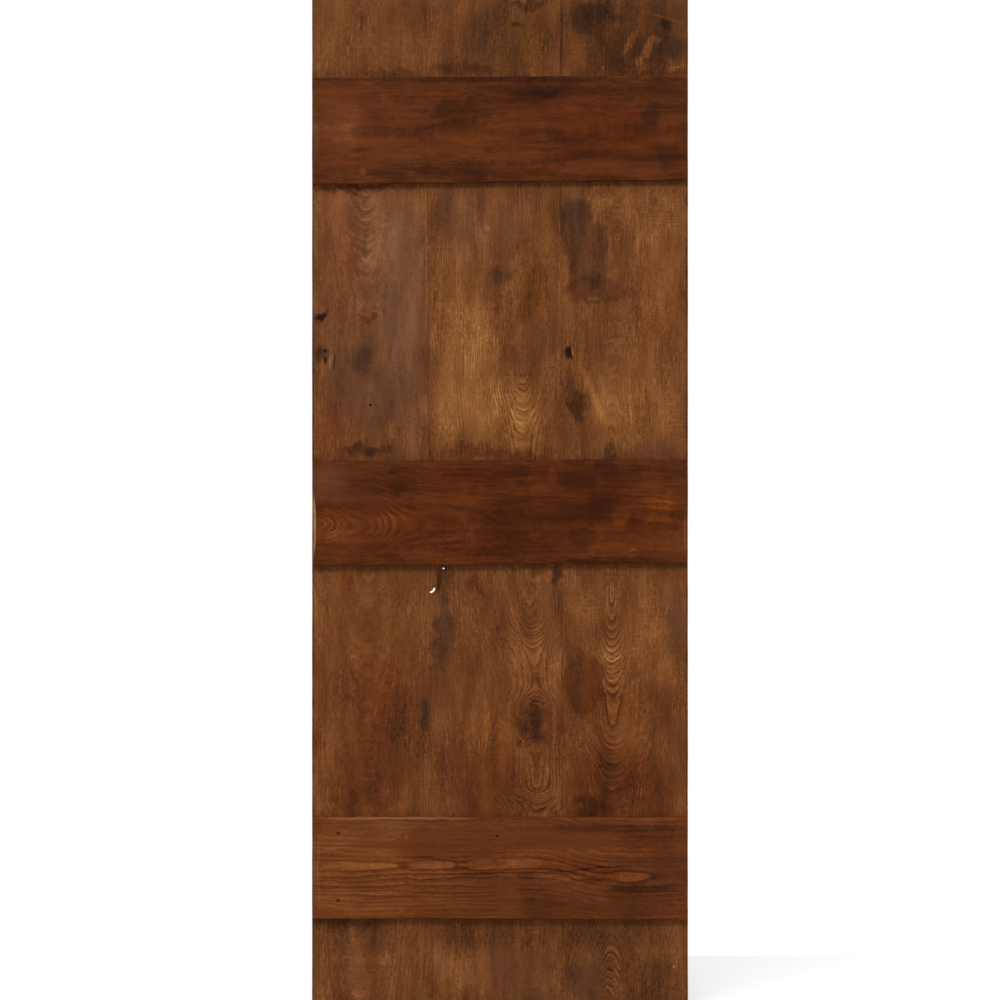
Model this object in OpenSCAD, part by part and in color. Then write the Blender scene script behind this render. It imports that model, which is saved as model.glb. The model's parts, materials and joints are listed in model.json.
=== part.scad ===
// Sliding ledged door: three wide oak boards held by three battens, hung from a
// flat steel rail on two top-edge hangers and kept upright by a floor guide.
// X runs right along the rail, Y points at the wall and Z is up. The origin lies
// on the wall face of the header board, at the height of the rail's bolt line and
// on the centre line of the closed leaf.

/* [Leaf] */
// Width of the door leaf
leaf_w = 762; // [720:1:860]
// Height of the door leaf
leaf_h = 2032; // [1960:1:2140]
// Thickness of the upright boards
board_t = 25; // [22:0.5:30]
// Width of the left board at its top end
left_board_top_w = 231; // [200:1:250]
// Width of the left board at its bottom end
left_board_bottom_w = 244; // [200:1:260]
// Width of the right board at its top end
right_board_top_w = 259; // [220:1:270]
// Width of the right board at its bottom end
right_board_bottom_w = 254; // [220:1:270]
// Open joint between two boards
board_joint = 0.6; // [0.4:0.1:1.2]
// Reach of the worn arris on a board's edges
board_arris = 2; // [1:0.25:3]
// Thickness of the loose tongue between two boards
spline_t = 6; // [5:0.5:8]
// Width of the loose tongue between two boards
spline_w = 20; // [16:1:24]
// Play of the loose tongue in its grooves
spline_play = 0.2; // [0.1:0.05:0.4]
// Width of the guide groove in the bottom edge
groove_w = 8; // [7:0.5:10]
// Depth of the guide groove in the bottom edge
groove_d = 15; // [12:0.5:20]

/* [Battens] */
// Thickness of the battens
batten_t = 19; // [16:0.5:25]
// Distance of the batten's ends from the leaf's sides
batten_inset = 2; // [1:0.5:8]
// Reach of the worn arris on a batten's front edges
batten_arris = 3; // [1.5:0.25:4]
// Drop from the leaf's top to the top batten, at its left end
top_batten_drop = 161; // [130:1:190]
// Height of the top batten at its left end
top_batten_left_h = 216; // [190:1:230]
// Height of the top batten at its right end, below the flare
top_batten_right_h = 213; // [190:1:230]
// Rise of the top batten's upper edge from left to right
top_batten_rise = 6; // [0:1:10]
// Lift of the flared corner at the top batten's right end
top_batten_flare = 11; // [4:1:16]
// Length of the flared corner at the top batten's right end
top_batten_flare_l = 62; // [40:1:90]
// Drop from the leaf's top to the middle batten, at its left end
middle_batten_drop = 937; // [900:1:980]
// Height of the middle batten at its left end
middle_batten_left_h = 213; // [190:1:230]
// Height of the middle batten at its right end
middle_batten_right_h = 210; // [190:1:230]
// Rise of the middle batten's upper edge from left to right
middle_batten_rise = 4; // [0:1:10]
// Depth of the hollow worn into the middle batten's left end
end_hollow = 7; // [3:0.5:10]
// Drop from the bottom batten's upper edge, at its left end, to the leaf's bottom
bottom_batten_drop = 374; // [332:1:432]
// Height of the bottom batten at its left end
bottom_batten_left_h = 206; // [190:1:220]
// Height of the bottom batten at its right end
bottom_batten_right_h = 208; // [190:1:220]
// Rise of the bottom batten's upper edge from left to right
bottom_batten_rise = 0; // [0:1:10]

/* [Batten screws] */
// Shank diameter of the batten screws
batten_screw_d = 4.5; // [4:0.5:5]
// Head diameter of the batten screws
batten_screw_head_d = 9; // [8:0.5:10]
// Head height of the batten screws
batten_screw_head_h = 3; // [2:0.5:4]
// How far the batten screws stop short of the batten's front
batten_screw_cover = 4; // [3:0.5:6]
// Distance of the batten screws from the batten's long edges
batten_screw_edge = 45; // [35:1:60]

/* [Old marks] */
// Diameter of the old nail holes
nail_hole_d = 5; // [3:0.5:6]
// Depth of the old nail holes
nail_hole_depth = 9; // [5:0.5:12]
// Diameter of the hole that a nail has left right through the middle board
through_hole_d = 3.5; // [2:0.5:5]
// Width of the open shake round the dead knot
shake_w = 3.5; // [2:0.5:5]
// Inner radius of the open shake round the dead knot
shake_r = 7.5; // [6:0.5:10]

/* [Header and rail] */
// Thickness of the header board
header_t = 25; // [22:0.5:30]
// Height of the header board
header_h = 120; // [110:1:150]
// Distance from the header's lower edge to the bolt line
header_below = 22; // [20:1:28]
// Length of the header beyond each end of the rail
header_overhang = 15; // [5:1:40]
// Thickness of the rail
rail_t = 6; // [5:0.5:8]
// Height of the rail
rail_h = 40; // [36:1:45]
// Length of rail beyond each stop
rail_tail = 38; // [20:1:80]
// Distance between the two middle rail bolts, as wall studs stand
bolt_pitch = 406; // [380:1:410]
// Distance from a stop to the nearest rail bolt
bolt_to_stop = 64.8; // [50:0.1:90]
// Shank diameter of the rail bolts
bolt_d = 10; // [8:1:12]
// Length of the spacers between header and rail
spacer_l = 32; // [28:1:40]
// Diameter of the spacers
spacer_d = 24; // [20:1:30]
// Diameter of the holes for the wall screws
wall_hole_d = 6.5; // [5:0.5:8]
// Height of the wall screws above the bolt line
wall_hole_z = 62; // [45:1:75]

/* [Sliding gear] */
// Travel of the leaf from closed to open
slide_travel = 711; // [640:1:711]
// Distance of the hangers from the leaf's sides
hanger_inset = 111; // [90:1:125]
// Width of the hanger's leg
hanger_w = 40; // [34:1:48]
// Thickness of the hanger's steel
hanger_t = 5; // [4:0.5:6]
// Length of the hanger's foot along the leaf
hanger_foot_l = 110; // [96:1:130]
// Gap between the leaf's top and the rail
head_gap = 9; // [8:0.5:14]
// Radius of the wheel where it rolls on the rail
wheel_roll_r = 30; // [26:0.5:34]
// Height of the wheel's flanges over its groove
wheel_flange = 6; // [4:0.5:8]
// Width of the wheel's rim
wheel_w = 18; // [16:0.5:20]
// Diameter of the axle bolts
axle_d = 10; // [8:1:12]
// Wall of the bush in the wheel
bush_wall = 3; // [2:0.5:4]
// Radius of the discs that keep the leaf on the rail
disc_r = 15; // [12:0.5:18]
// Thickness of the discs that keep the leaf on the rail
disc_t = 6; // [4:0.5:6.5]
// Gap between a hanger's foot and its disc
disc_gap = 1; // [0.5:0.5:8]

/* [Stops and floor guide] */
// Width of a stop along the rail
stop_w = 25; // [20:1:32]
// Thickness of a stop's cheeks beside the rail
stop_cheek = 8; // [6:0.5:9]
// Depth of rail that a stop grips
stop_grip = 25; // [20:1:30]
// Diameter of the rubber bumpers
bumper_d = 16; // [12:1:18]
// Length of the rubber bumpers
bumper_l = 12; // [8:1:16]
// Gap between the leaf and the floor
floor_gap = 10; // [8:0.5:14]
// Length of the floor guide's fin
guide_fin_l = 36; // [24:1:40]
// Height of the floor guide's base
guide_base_t = 5; // [4:0.5:6]
// Length of the floor guide's base
guide_base_l = 80; // [72:1:100]
// Depth of the floor guide's base, front to back
guide_base_d = 40; // [30:1:50]
// Diameter of the floor guide's screw holes
guide_hole_d = 5; // [4:0.5:6]

/* [Hidden] */
$fn = 48;

// Finishes
OAK = "#6b4023";
BATTEN_OAK = "#55301a";
SPLINE_OAK = "#8a6238";
BLACK_STEEL = "#232325";
ZINC = "#9a9a96";
NYLON = "#1c1c1e";
RUBBER = "#171717";
BRONZE = "#a8783c";

// Clearances
cut = 1;           // overshoot of a cutting body past the face that it opens
fit = 0.1;         // between a fixed shank and its hole, on the radius
run = 0.05;        // between the axle and its bush, on the radius
free = 0.3;        // between neighbours that move past each other
bolt_room = 0.5;   // between a rail bolt and its hole, on the radius
head_room = 1.5;   // between the hanger's leg and the heads of the rail bolts
guide_play = 0.8;  // between the floor guide's fin and each side of its groove
disc_bore_offset = 5;  // of a disc's screw from the disc's centre

// Rows front to back
rail_back_y = -header_t - spacer_l;
rail_front_y = rail_back_y - rail_t;
mid_y = rail_back_y - rail_t / 2;
board_back_y = mid_y + board_t / 2;
board_front_y = mid_y - board_t / 2;
batten_front_y = board_front_y - batten_t;

// Hex bolts, nuts and washers, in proportion to their shank
function hex_across(d) = 1.7 * d;
function hex_corner_r(d) = hex_across(d) / sqrt(3);
function head_h(d) = 0.64 * d;
function nut_h(d) = 0.8 * d;
washer_t = 2;
function washer_r(d) = d;

// Heights
rail_top_z = rail_h / 2;
axle_z = rail_top_z + free + wheel_roll_r;
leaf_top_z = -rail_h / 2 - head_gap;
leaf_bottom_z = leaf_top_z - leaf_h;
floor_z = leaf_bottom_z - floor_gap;
groove_top_z = leaf_bottom_z + groove_d;

// Places along the rail
side_x = leaf_w / 2;
hanger_x = side_x - hanger_inset;
disc_x = hanger_x + hanger_foot_l / 2 + disc_gap + disc_r + disc_bore_offset;
wheel_r = wheel_roll_r + wheel_flange;
stop_reach = wheel_r + free + bumper_l;
left_stop_x = -hanger_x - stop_reach - stop_w;
right_stop_x = hanger_x + slide_travel + stop_reach;
rail_left_x = left_stop_x - rail_tail;
rail_right_x = right_stop_x + stop_w + rail_tail;
rail_mid_x = (rail_left_x + rail_right_x) / 2;
bolt_xs = [
    left_stop_x + stop_w + bolt_to_stop,
    rail_mid_x - bolt_pitch / 2,
    rail_mid_x + bolt_pitch / 2,
    right_stop_x - bolt_to_stop
];
guide_end_gap = 4;
guide_x = side_x - guide_fin_l / 2 - guide_end_gap;

// Joints between the boards, as [x at the top, x at the bottom]
left_joint = [-side_x + left_board_top_w, -side_x + left_board_bottom_w];
right_joint = [side_x - right_board_top_w, side_x - right_board_bottom_w];
function joint_x(joint, drop) = joint[0] + (joint[1] - joint[0]) * drop / leaf_h;

// Plane helpers

// Extrudes an outline drawn in X and Z from y0 at the front to y1 at the back.
module slab(y0, y1) {
    translate([0, y1, 0]) rotate([90, 0, 0]) linear_extrude(y1 - y0) children();
}

// Places what is modelled up Z so that it runs back from y0 along Y.
module back_from(x, y0, z) {
    translate([x, y0, z]) rotate([-90, 0, 0]) children();
}

// Places what is modelled up Z so that it runs forward from y0 along Y.
module forward_from(x, y0, z) {
    translate([x, y0, z]) rotate([90, 0, 0]) children();
}

// The corner lost along one straight edge of a face at y, from a to b in X and Z
// with the wood on the left. The cut runs a little past each corner, so that
// neighbouring arrises join.
module arris(a, b, y, reach, front = true) {
    past = 0.3 * reach;
    translate([a.x, y, a.y])
        rotate([0, atan2(b.x - a.x, b.y - a.y), 0])
            translate([0, 0, -past]) linear_extrude(norm(b - a) + 2 * past)
                mirror([0, front ? 0 : 1])
                    polygon([[-reach - cut, -cut], [cut, -cut], [cut, reach + cut]]);
}

// All the arrises of an outline on the face at y. The edges across the grain are
// worn a little less than those along it.
module worn_face(outline, y, reach, upright_grain, front = true) {
    end_share = 0.7;
    for (i = [0 : len(outline) - 1]) {
        a = outline[i];
        b = outline[(i + 1) % len(outline)];
        upright_edge = abs(b.y - a.y) > abs(b.x - a.x);
        arris(a, b, y, upright_edge == upright_grain ? reach : end_share * reach, front);
    }
}

// Fasteners

// Countersunk screw with its head's face at Z 0 and its point up Z.
module csk_screw(d, head_d, head_h, length) {
    point_h = d;
    slot_w = 0.22 * d;
    slot_l = 0.55 * head_d;
    slot_h = 0.6 * head_h;
    difference() {
        union() {
            cylinder(d1 = head_d, d2 = d, h = head_h);
            translate([0, 0, head_h]) cylinder(d = d, h = length - head_h - point_h);
            translate([0, 0, length - point_h]) cylinder(d1 = d, d2 = 0.3 * d, h = point_h);
        }
        for (turn = [0, 90])
            rotate([0, 0, turn])
                translate([-slot_l / 2, -slot_w / 2, -cut]) cube([slot_l, slot_w, slot_h + cut]);
    }
}

// The hole that such a screw sits in, a little longer than the screw.
module csk_hole(d, head_d, head_h, length) {
    translate([0, 0, -cut]) cylinder(d = head_d + 2 * fit, h = cut + fit);
    translate([0, 0, fit]) cylinder(d1 = head_d + 2 * fit, d2 = d + 2 * fit, h = head_h);
    cylinder(d = d + 2 * fit, h = length + cut);
}

// Hex bolt with its bearing face at Z 0, its head below and its shank up Z.
module hex_bolt(d, length) {
    translate([0, 0, -head_h(d)]) cylinder(r = hex_corner_r(d), h = head_h(d), $fn = 6);
    cylinder(d = d, h = length);
}

module hex_nut(d) {
    difference() {
        cylinder(r = hex_corner_r(d), h = nut_h(d), $fn = 6);
        translate([0, 0, -cut]) cylinder(d = d + 2 * fit, h = nut_h(d) + 2 * cut);
    }
}

module ring(outer_r, inner_r, h) {
    difference() {
        cylinder(r = outer_r, h = h);
        translate([0, 0, -cut]) cylinder(r = inner_r, h = h + 2 * cut);
    }
}

// Leaf

function board_outline(top_left, top_right, bottom_left, bottom_right) = [
    [bottom_left, leaf_bottom_z],
    [bottom_right, leaf_bottom_z],
    [top_right, leaf_top_z],
    [top_left, leaf_top_z]
];
left_outline = board_outline(
    -side_x, left_joint[0] - board_joint / 2, -side_x, left_joint[1] - board_joint / 2);
middle_outline = board_outline(
    left_joint[0] + board_joint / 2, right_joint[0] - board_joint / 2,
    left_joint[1] + board_joint / 2, right_joint[1] - board_joint / 2);
right_outline = board_outline(
    right_joint[0] + board_joint / 2, side_x, right_joint[1] + board_joint / 2, side_x);

// The band that a tongue of the given width fills along a joint, in X and Z.
module joint_band(joint, width, low_z, high_z) {
    x_low = joint_x(joint, leaf_top_z - low_z);
    x_high = joint_x(joint, leaf_top_z - high_z);
    polygon([
        [x_low - width / 2, low_z], [x_low + width / 2, low_z],
        [x_high + width / 2, high_z], [x_high - width / 2, high_z]
    ]);
}

module joint_groove(joint) {
    half_t = spline_t / 2 + spline_play / 2;
    slab(mid_y - half_t, mid_y + half_t)
        joint_band(joint, spline_w + 2 * spline_play, leaf_bottom_z - cut, leaf_top_z + cut);
}

module guide_groove() {
    translate([-side_x - cut, mid_y - groove_w / 2, leaf_bottom_z - cut])
        cube([leaf_w + 2 * cut, groove_w, groove_d + cut]);
}

// Battens: [drop at the left, height at the left, height at the right, rise to the right]
top_batten_size = [top_batten_drop, top_batten_left_h, top_batten_right_h, top_batten_rise];
middle_batten_size = [middle_batten_drop, middle_batten_left_h, middle_batten_right_h, middle_batten_rise];
bottom_batten_size = [
    leaf_h - bottom_batten_drop, bottom_batten_left_h, bottom_batten_right_h, bottom_batten_rise
];
batten_left_x = -side_x + batten_inset;
batten_right_x = side_x - batten_inset;

// Corners of a batten, anticlockwise from the bottom left.
function batten_outline(size) =
    let (left_z = leaf_top_z - size[0], right_z = left_z + size[3])
    [
        [batten_left_x, left_z - size[1]],
        [batten_right_x, right_z - size[2]],
        [batten_right_x, right_z],
        [batten_left_x, left_z]
    ];

// The top batten's upper edge kicks up at its right end.
top_outline =
    let (plain = batten_outline(top_batten_size))
    [
        plain[0], plain[1], plain[2] + [0, top_batten_flare],
        plain[2] - [top_batten_flare_l, 0], plain[3]
    ];
middle_outline_batten = batten_outline(middle_batten_size);
bottom_outline = batten_outline(bottom_batten_size);

// Screws of one batten: two across each board, set in from the batten's long edges.
function batten_screw_places(size) =
    let (
        low_z = leaf_top_z - size[0] - min(size[1], size[2] - size[3]) + batten_screw_edge,
        high_z = leaf_top_z - size[0] - batten_screw_edge,
        joint_l = joint_x(left_joint, size[0]),
        joint_r = joint_x(right_joint, size[0])
    )
    [
        for (x = [(joint_l - side_x) / 2, (joint_l + joint_r) / 2, (joint_r + side_x) / 2])
            for (z = [low_z, high_z]) [x, z]
    ];
batten_screw_l = board_t + batten_t - batten_screw_cover;

module batten_screw_set(size) {
    color(ZINC)
        for (p = batten_screw_places(size))
            forward_from(p.x, board_back_y, p.y)
                csk_screw(batten_screw_d, batten_screw_head_d, batten_screw_head_h, batten_screw_l);
}

module batten_screw_holes() {
    for (size = [top_batten_size, middle_batten_size, bottom_batten_size])
        for (p = batten_screw_places(size))
            forward_from(p.x, board_back_y, p.y)
                csk_hole(batten_screw_d, batten_screw_head_d, batten_screw_head_h, batten_screw_l);
}

// Screws of a foot or disc, driven down into the leaf's top edge.
foot_screw_d = 6;
foot_screw_head_d = 12;
foot_screw_head_h = 3.5;
foot_screw_l = 60;
foot_screw_end = 14;
foot_screw_x = hanger_foot_l / 2 - foot_screw_end;
disc_screw_d = 4.5;
disc_screw_head_d = 9;
disc_screw_head_h = 3;
disc_screw_l = 45;

// The screw sits in its plate, so its head's face is level with the plate's top.
module foot_screw(x, hole) {
    translate([x, mid_y, leaf_top_z + hanger_t]) mirror([0, 0, 1])
        if (hole) csk_hole(foot_screw_d, foot_screw_head_d, foot_screw_head_h, foot_screw_l);
        else csk_screw(foot_screw_d, foot_screw_head_d, foot_screw_head_h, foot_screw_l);
}

module disc_screw(x, hole) {
    translate([x, mid_y, leaf_top_z + disc_t]) mirror([0, 0, 1])
        if (hole) csk_hole(disc_screw_d, disc_screw_head_d, disc_screw_head_h, disc_screw_l);
        else csk_screw(disc_screw_d, disc_screw_head_d, disc_screw_head_h, disc_screw_l);
}

module top_edge_screws(side, hole) {
    for (end = [-1, 1]) foot_screw(side * hanger_x + end * foot_screw_x, hole);
    disc_screw(side * disc_x, hole);
}

// Old marks on the front face

// A blind nail hole, from the face at y.
module nail_hole(x, z, y) {
    forward_from(x, y + nail_hole_depth, z) cylinder(d = nail_hole_d, h = nail_hole_depth + cut);
}

// A shallow round pit where a knot has crumbled out of the face at y.
module knot_pit(x, drop, y, mouth_r, depth) {
    ball_r = (mouth_r * mouth_r + depth * depth) / (2 * depth);
    translate([x, y + depth - ball_r, leaf_top_z - drop]) sphere(ball_r);
}

// Crumbled knots of the outer boards: [distance from the edge, drop, mouth radius, depth]
left_knots = [[12, 650, 8, 4], [17, 722, 7, 2.5]];
right_knots = [[13, 712, 6, 3], [15, 728, 5, 2.5]];
knot_nail = [118, 823];
// Nails of the bottom batten: [distance from the side, drop below its upper edge]
left_nails = [[54, 33], [54, 169], [198, 41]];
right_nails = [[31, 29], [35, 177]];
middle_nail = [375, 39];

// The through hole opens just under the middle batten: [distance from the left joint, drop]
middle_batten_foot = middle_batten_drop + middle_batten_left_h;
through_hole = [28, middle_batten_foot];

// The dead knot beside the left joint has come loose: a quarter ring is open right
// through, with the joint as one of its ends.
shake_below_batten = 44;
shake_drop = middle_batten_foot + shake_below_batten;
shake_x = joint_x(left_joint, shake_drop);
module shake() {
    outer_r = shake_r + shake_w;
    slab(board_front_y - cut, board_back_y + cut)
        translate([shake_x, leaf_top_z - shake_drop])
            intersection() {
                difference() {
                    circle(outer_r);
                    circle(shake_r);
                }
                translate([0, -outer_r]) square(outer_r);
            }
}

module board(outline) {
    difference() {
        slab(board_front_y, board_back_y) polygon(outline);
        worn_face(outline, board_front_y, board_arris, true);
        worn_face(outline, board_back_y, board_arris, true, front = false);
        guide_groove();
        batten_screw_holes();
        children();
    }
}

module left_board() {
    color(OAK)
        board(left_outline) {
            joint_groove(left_joint);
            top_edge_screws(-1, hole = true);
            for (k = left_knots) knot_pit(-side_x + k[0], k[1], board_front_y, k[2], k[3]);
            nail_hole(-side_x + knot_nail.x, leaf_top_z - knot_nail.y, board_front_y);
        }
}

module middle_board() {
    color(OAK)
        board(middle_outline) {
            joint_groove(left_joint);
            joint_groove(right_joint);
            shake();
            back_from(
                joint_x(left_joint, through_hole.y) + through_hole.x, board_front_y - cut,
                leaf_top_z - through_hole.y)
                cylinder(d = through_hole_d, h = board_t + 2 * cut);
        }
}

module right_board() {
    color(OAK)
        board(right_outline) {
            joint_groove(right_joint);
            top_edge_screws(1, hole = true);
            for (k = right_knots)
                knot_pit(joint_x(right_joint, k[1]) + k[0], k[1], board_front_y, k[2], k[3]);
        }
}

module spline(joint) {
    slab(mid_y - spline_t / 2, mid_y + spline_t / 2)
        joint_band(joint, spline_w, groove_top_z, leaf_top_z);
}

module left_spline() {
    color(SPLINE_OAK)
        difference() {
            spline(left_joint);
            shake();
        }
}

module right_spline() { color(SPLINE_OAK) spline(right_joint); }

module batten(outline) {
    color(BATTEN_OAK)
        difference() {
            slab(batten_front_y, board_front_y) polygon(outline);
            worn_face(outline, batten_front_y, batten_arris, false);
            batten_screw_holes();
            children();
        }
}

// The middle batten's left end is worn hollow, as a shallow arc over its lower part.
module end_hollow_cut() {
    hollow_lift = 8;
    hollow_share = 0.66;
    low_z = middle_outline_batten[0].y + hollow_lift;
    chord = hollow_share * middle_batten_left_h;
    arc_r = (chord * chord / 4 + end_hollow * end_hollow) / (2 * end_hollow);
    forward_from(batten_left_x + end_hollow - arc_r, board_front_y + cut, low_z + chord / 2)
        cylinder(r = arc_r, h = batten_t + 2 * cut, $fn = 180);
}

module top_batten() { batten(top_outline); }

module middle_batten() { batten(middle_outline_batten) end_hollow_cut(); }

module bottom_batten() {
    batten(bottom_outline) {
        for (n = left_nails)
            nail_hole(-side_x + n.x, bottom_outline[3].y - n.y, batten_front_y);
        for (n = right_nails)
            nail_hole(side_x - n.x, bottom_outline[2].y - n.y, batten_front_y);
        nail_hole(-side_x + middle_nail.x, bottom_outline[3].y - middle_nail.y, batten_front_y);
    }
}

// Header and rail

// The nuts sit in round pockets in the header's back.
nut_sink = 2;
nut_pocket_y = -(washer_t + nut_h(bolt_d) + nut_sink);
nut_pocket_room = 2;
bolt_past_nut = 1;

module header_board() {
    csk_h = 3;
    low_z = -header_below;
    outline = [
        [rail_left_x - header_overhang, low_z],
        [rail_right_x + header_overhang, low_z],
        [rail_right_x + header_overhang, low_z + header_h],
        [rail_left_x - header_overhang, low_z + header_h]
    ];
    color(OAK)
        difference() {
            slab(-header_t, 0) polygon(outline);
            worn_face(outline, -header_t, board_arris, false);
            for (x = bolt_xs) {
                back_from(x, -header_t - cut, 0) cylinder(d = bolt_d + 2 * bolt_room, h = header_t + 2 * cut);
                back_from(x, nut_pocket_y, 0)
                    cylinder(r = washer_r(bolt_d) + nut_pocket_room, h = cut - nut_pocket_y);
                back_from(x, -header_t - cut, wall_hole_z) cylinder(d = wall_hole_d, h = header_t + 2 * cut);
                back_from(x, -header_t, wall_hole_z)
                    cylinder(d1 = 2 * wall_hole_d, d2 = wall_hole_d, h = csk_h);
            }
        }
}

module track_rail() {
    end_r = 4;
    color(BLACK_STEEL)
        difference() {
            slab(rail_front_y, rail_back_y)
                difference() {
                    translate([rail_left_x, -rail_h / 2]) square([rail_right_x - rail_left_x, rail_h]);
                    for (end = [-1, 1])
                        for (edge = [-1, 1])
                            translate([end < 0 ? rail_left_x : rail_right_x, edge * rail_h / 2])
                                rotate(45) square(end_r * sqrt(2), center = true);
                }
            for (x = bolt_xs)
                back_from(x, rail_front_y - cut, 0) cylinder(d = bolt_d + 2 * bolt_room, h = rail_t + 2 * cut);
        }
}

module rail_spacer(i) {
    color(BLACK_STEEL)
        back_from(bolt_xs[i], rail_back_y, 0) ring(spacer_d / 2, bolt_d / 2 + bolt_room, spacer_l);
}

module rail_bolts() {
    head_y = rail_front_y - washer_t;
    end_y = nut_pocket_y + washer_t + nut_h(bolt_d) + bolt_past_nut;
    color(BLACK_STEEL)
        for (x = bolt_xs) back_from(x, head_y, 0) hex_bolt(bolt_d, end_y - head_y);
}

module rail_washers() {
    color(BLACK_STEEL)
        for (x = bolt_xs)
            for (y = [rail_front_y - washer_t, nut_pocket_y])
                back_from(x, y, 0) ring(washer_r(bolt_d), bolt_d / 2 + fit, washer_t);
}

module rail_nuts() {
    color(ZINC)
        for (x = bolt_xs) back_from(x, nut_pocket_y + washer_t, 0) hex_nut(bolt_d);
}

// Stops

stop_slot_w = rail_t + 2 * fit;
stop_front_y = mid_y - stop_slot_w / 2 - stop_cheek;
stop_back_y = mid_y + stop_slot_w / 2 + stop_cheek;
stop_brow = 4;
stop_top_z = axle_z + bumper_d / 2 + stop_brow;
set_screw_d = 6;
set_screw_inset = 7;
set_screw_z = rail_top_z - stop_grip / 2;

// A saddle over the rail, with two set screws through its front cheek.
module stop(x) {
    nose = 5;
    color(BLACK_STEEL)
        difference() {
            translate([x, 0, 0]) rotate([90, 0, 90]) linear_extrude(stop_w)
                difference() {
                    translate([stop_front_y, rail_top_z - stop_grip])
                        square([stop_back_y - stop_front_y, stop_top_z - rail_top_z + stop_grip]);
                    translate([mid_y - stop_slot_w / 2, rail_top_z - stop_grip - cut])
                        square([stop_slot_w, stop_grip + cut]);
                    for (y = [stop_front_y, stop_back_y])
                        translate([y, stop_top_z]) rotate(45) square(nose * sqrt(2), center = true);
                }
            for (dx = [set_screw_inset, stop_w - set_screw_inset])
                forward_from(x + dx, mid_y, set_screw_z)
                    cylinder(d = set_screw_d + 2 * fit, h = stop_cheek + stop_slot_w);
        }
}

module left_stop() { stop(left_stop_x); }
module right_stop() { stop(right_stop_x); }

module stop_set_screws() {
    socket_af = 3;
    socket_h = 3;
    length = stop_cheek + fit;
    color(ZINC)
        for (x = [left_stop_x, right_stop_x])
            for (dx = [set_screw_inset, stop_w - set_screw_inset])
                forward_from(x + dx, rail_front_y, set_screw_z)
                    difference() {
                        cylinder(d = set_screw_d, h = length);
                        translate([0, 0, length - socket_h])
                            cylinder(r = socket_af / sqrt(3), h = socket_h + cut, $fn = 6);
                    }
}

// A rubber button stuck on the stop's inner face, facing the wheel.
module bumper(x, side) {
    chamfer = 2;
    color(RUBBER)
        translate([x, mid_y, axle_z]) rotate([0, side * 90, 0]) {
            cylinder(d = bumper_d, h = bumper_l - chamfer);
            translate([0, 0, bumper_l - chamfer])
                cylinder(d1 = bumper_d, d2 = bumper_d - 2 * chamfer, h = chamfer);
        }
}

module left_bumper() { bumper(left_stop_x + stop_w, 1); }
module right_bumper() { bumper(right_stop_x, -1); }

// Floor guide

guide_fin_t = groove_w - 2 * guide_play;
guide_hole_end = 10;
guide_hole_x = guide_base_l / 2 - guide_hole_end;

// Moulded in one piece: a flat base with a fin that runs in the leaf's groove.
module floor_guide() {
    fin_room = 3;
    fin_top_z = groove_top_z - fin_room;
    csk_h = 2.5;
    base_chamfer = 2;
    fin_nose = 2.5;
    color(NYLON)
        difference() {
            union() {
                translate([guide_x - guide_base_l / 2, 0, 0])
                    rotate([90, 0, 90]) linear_extrude(guide_base_l)
                        polygon([
                            [mid_y - guide_base_d / 2, floor_z],
                            [mid_y + guide_base_d / 2, floor_z],
                            [mid_y + guide_base_d / 2, floor_z + guide_base_t - base_chamfer],
                            [mid_y + guide_base_d / 2 - base_chamfer, floor_z + guide_base_t],
                            [mid_y - guide_base_d / 2 + base_chamfer, floor_z + guide_base_t],
                            [mid_y - guide_base_d / 2, floor_z + guide_base_t - base_chamfer]
                        ]);
                slab(mid_y - guide_fin_t / 2, mid_y + guide_fin_t / 2)
                    polygon([
                        [guide_x - guide_fin_l / 2, floor_z + guide_base_t / 2],
                        [guide_x + guide_fin_l / 2, floor_z + guide_base_t / 2],
                        [guide_x + guide_fin_l / 2, fin_top_z - fin_nose],
                        [guide_x + guide_fin_l / 2 - fin_nose, fin_top_z],
                        [guide_x - guide_fin_l / 2 + fin_nose, fin_top_z],
                        [guide_x - guide_fin_l / 2, fin_top_z - fin_nose]
                    ]);
            }
            for (end = [-1, 1])
                translate([guide_x + end * guide_hole_x, mid_y, floor_z]) {
                    translate([0, 0, -cut]) cylinder(d = guide_hole_d, h = guide_base_t + 2 * cut);
                    translate([0, 0, guide_base_t - csk_h])
                        cylinder(d1 = guide_hole_d, d2 = 2 * guide_hole_d, h = csk_h + fit);
                }
        }
}

// Hangers and wheels

bush_r = axle_d / 2 + run + bush_wall;
hub_wall = 5;
hub_r = bush_r + hub_wall;
hub_w = wheel_w + 2;
hub_front_y = mid_y - hub_w / 2;
hub_back_y = mid_y + hub_w / 2;
least_spacer_l = 2;
leg_back_y = min(
    rail_front_y - washer_t - head_h(bolt_d) - head_room, hub_front_y - free - least_spacer_l);
leg_front_y = leg_back_y - hanger_t;
bend_in_r = 3;
bend_out_r = bend_in_r + hanger_t;

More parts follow.
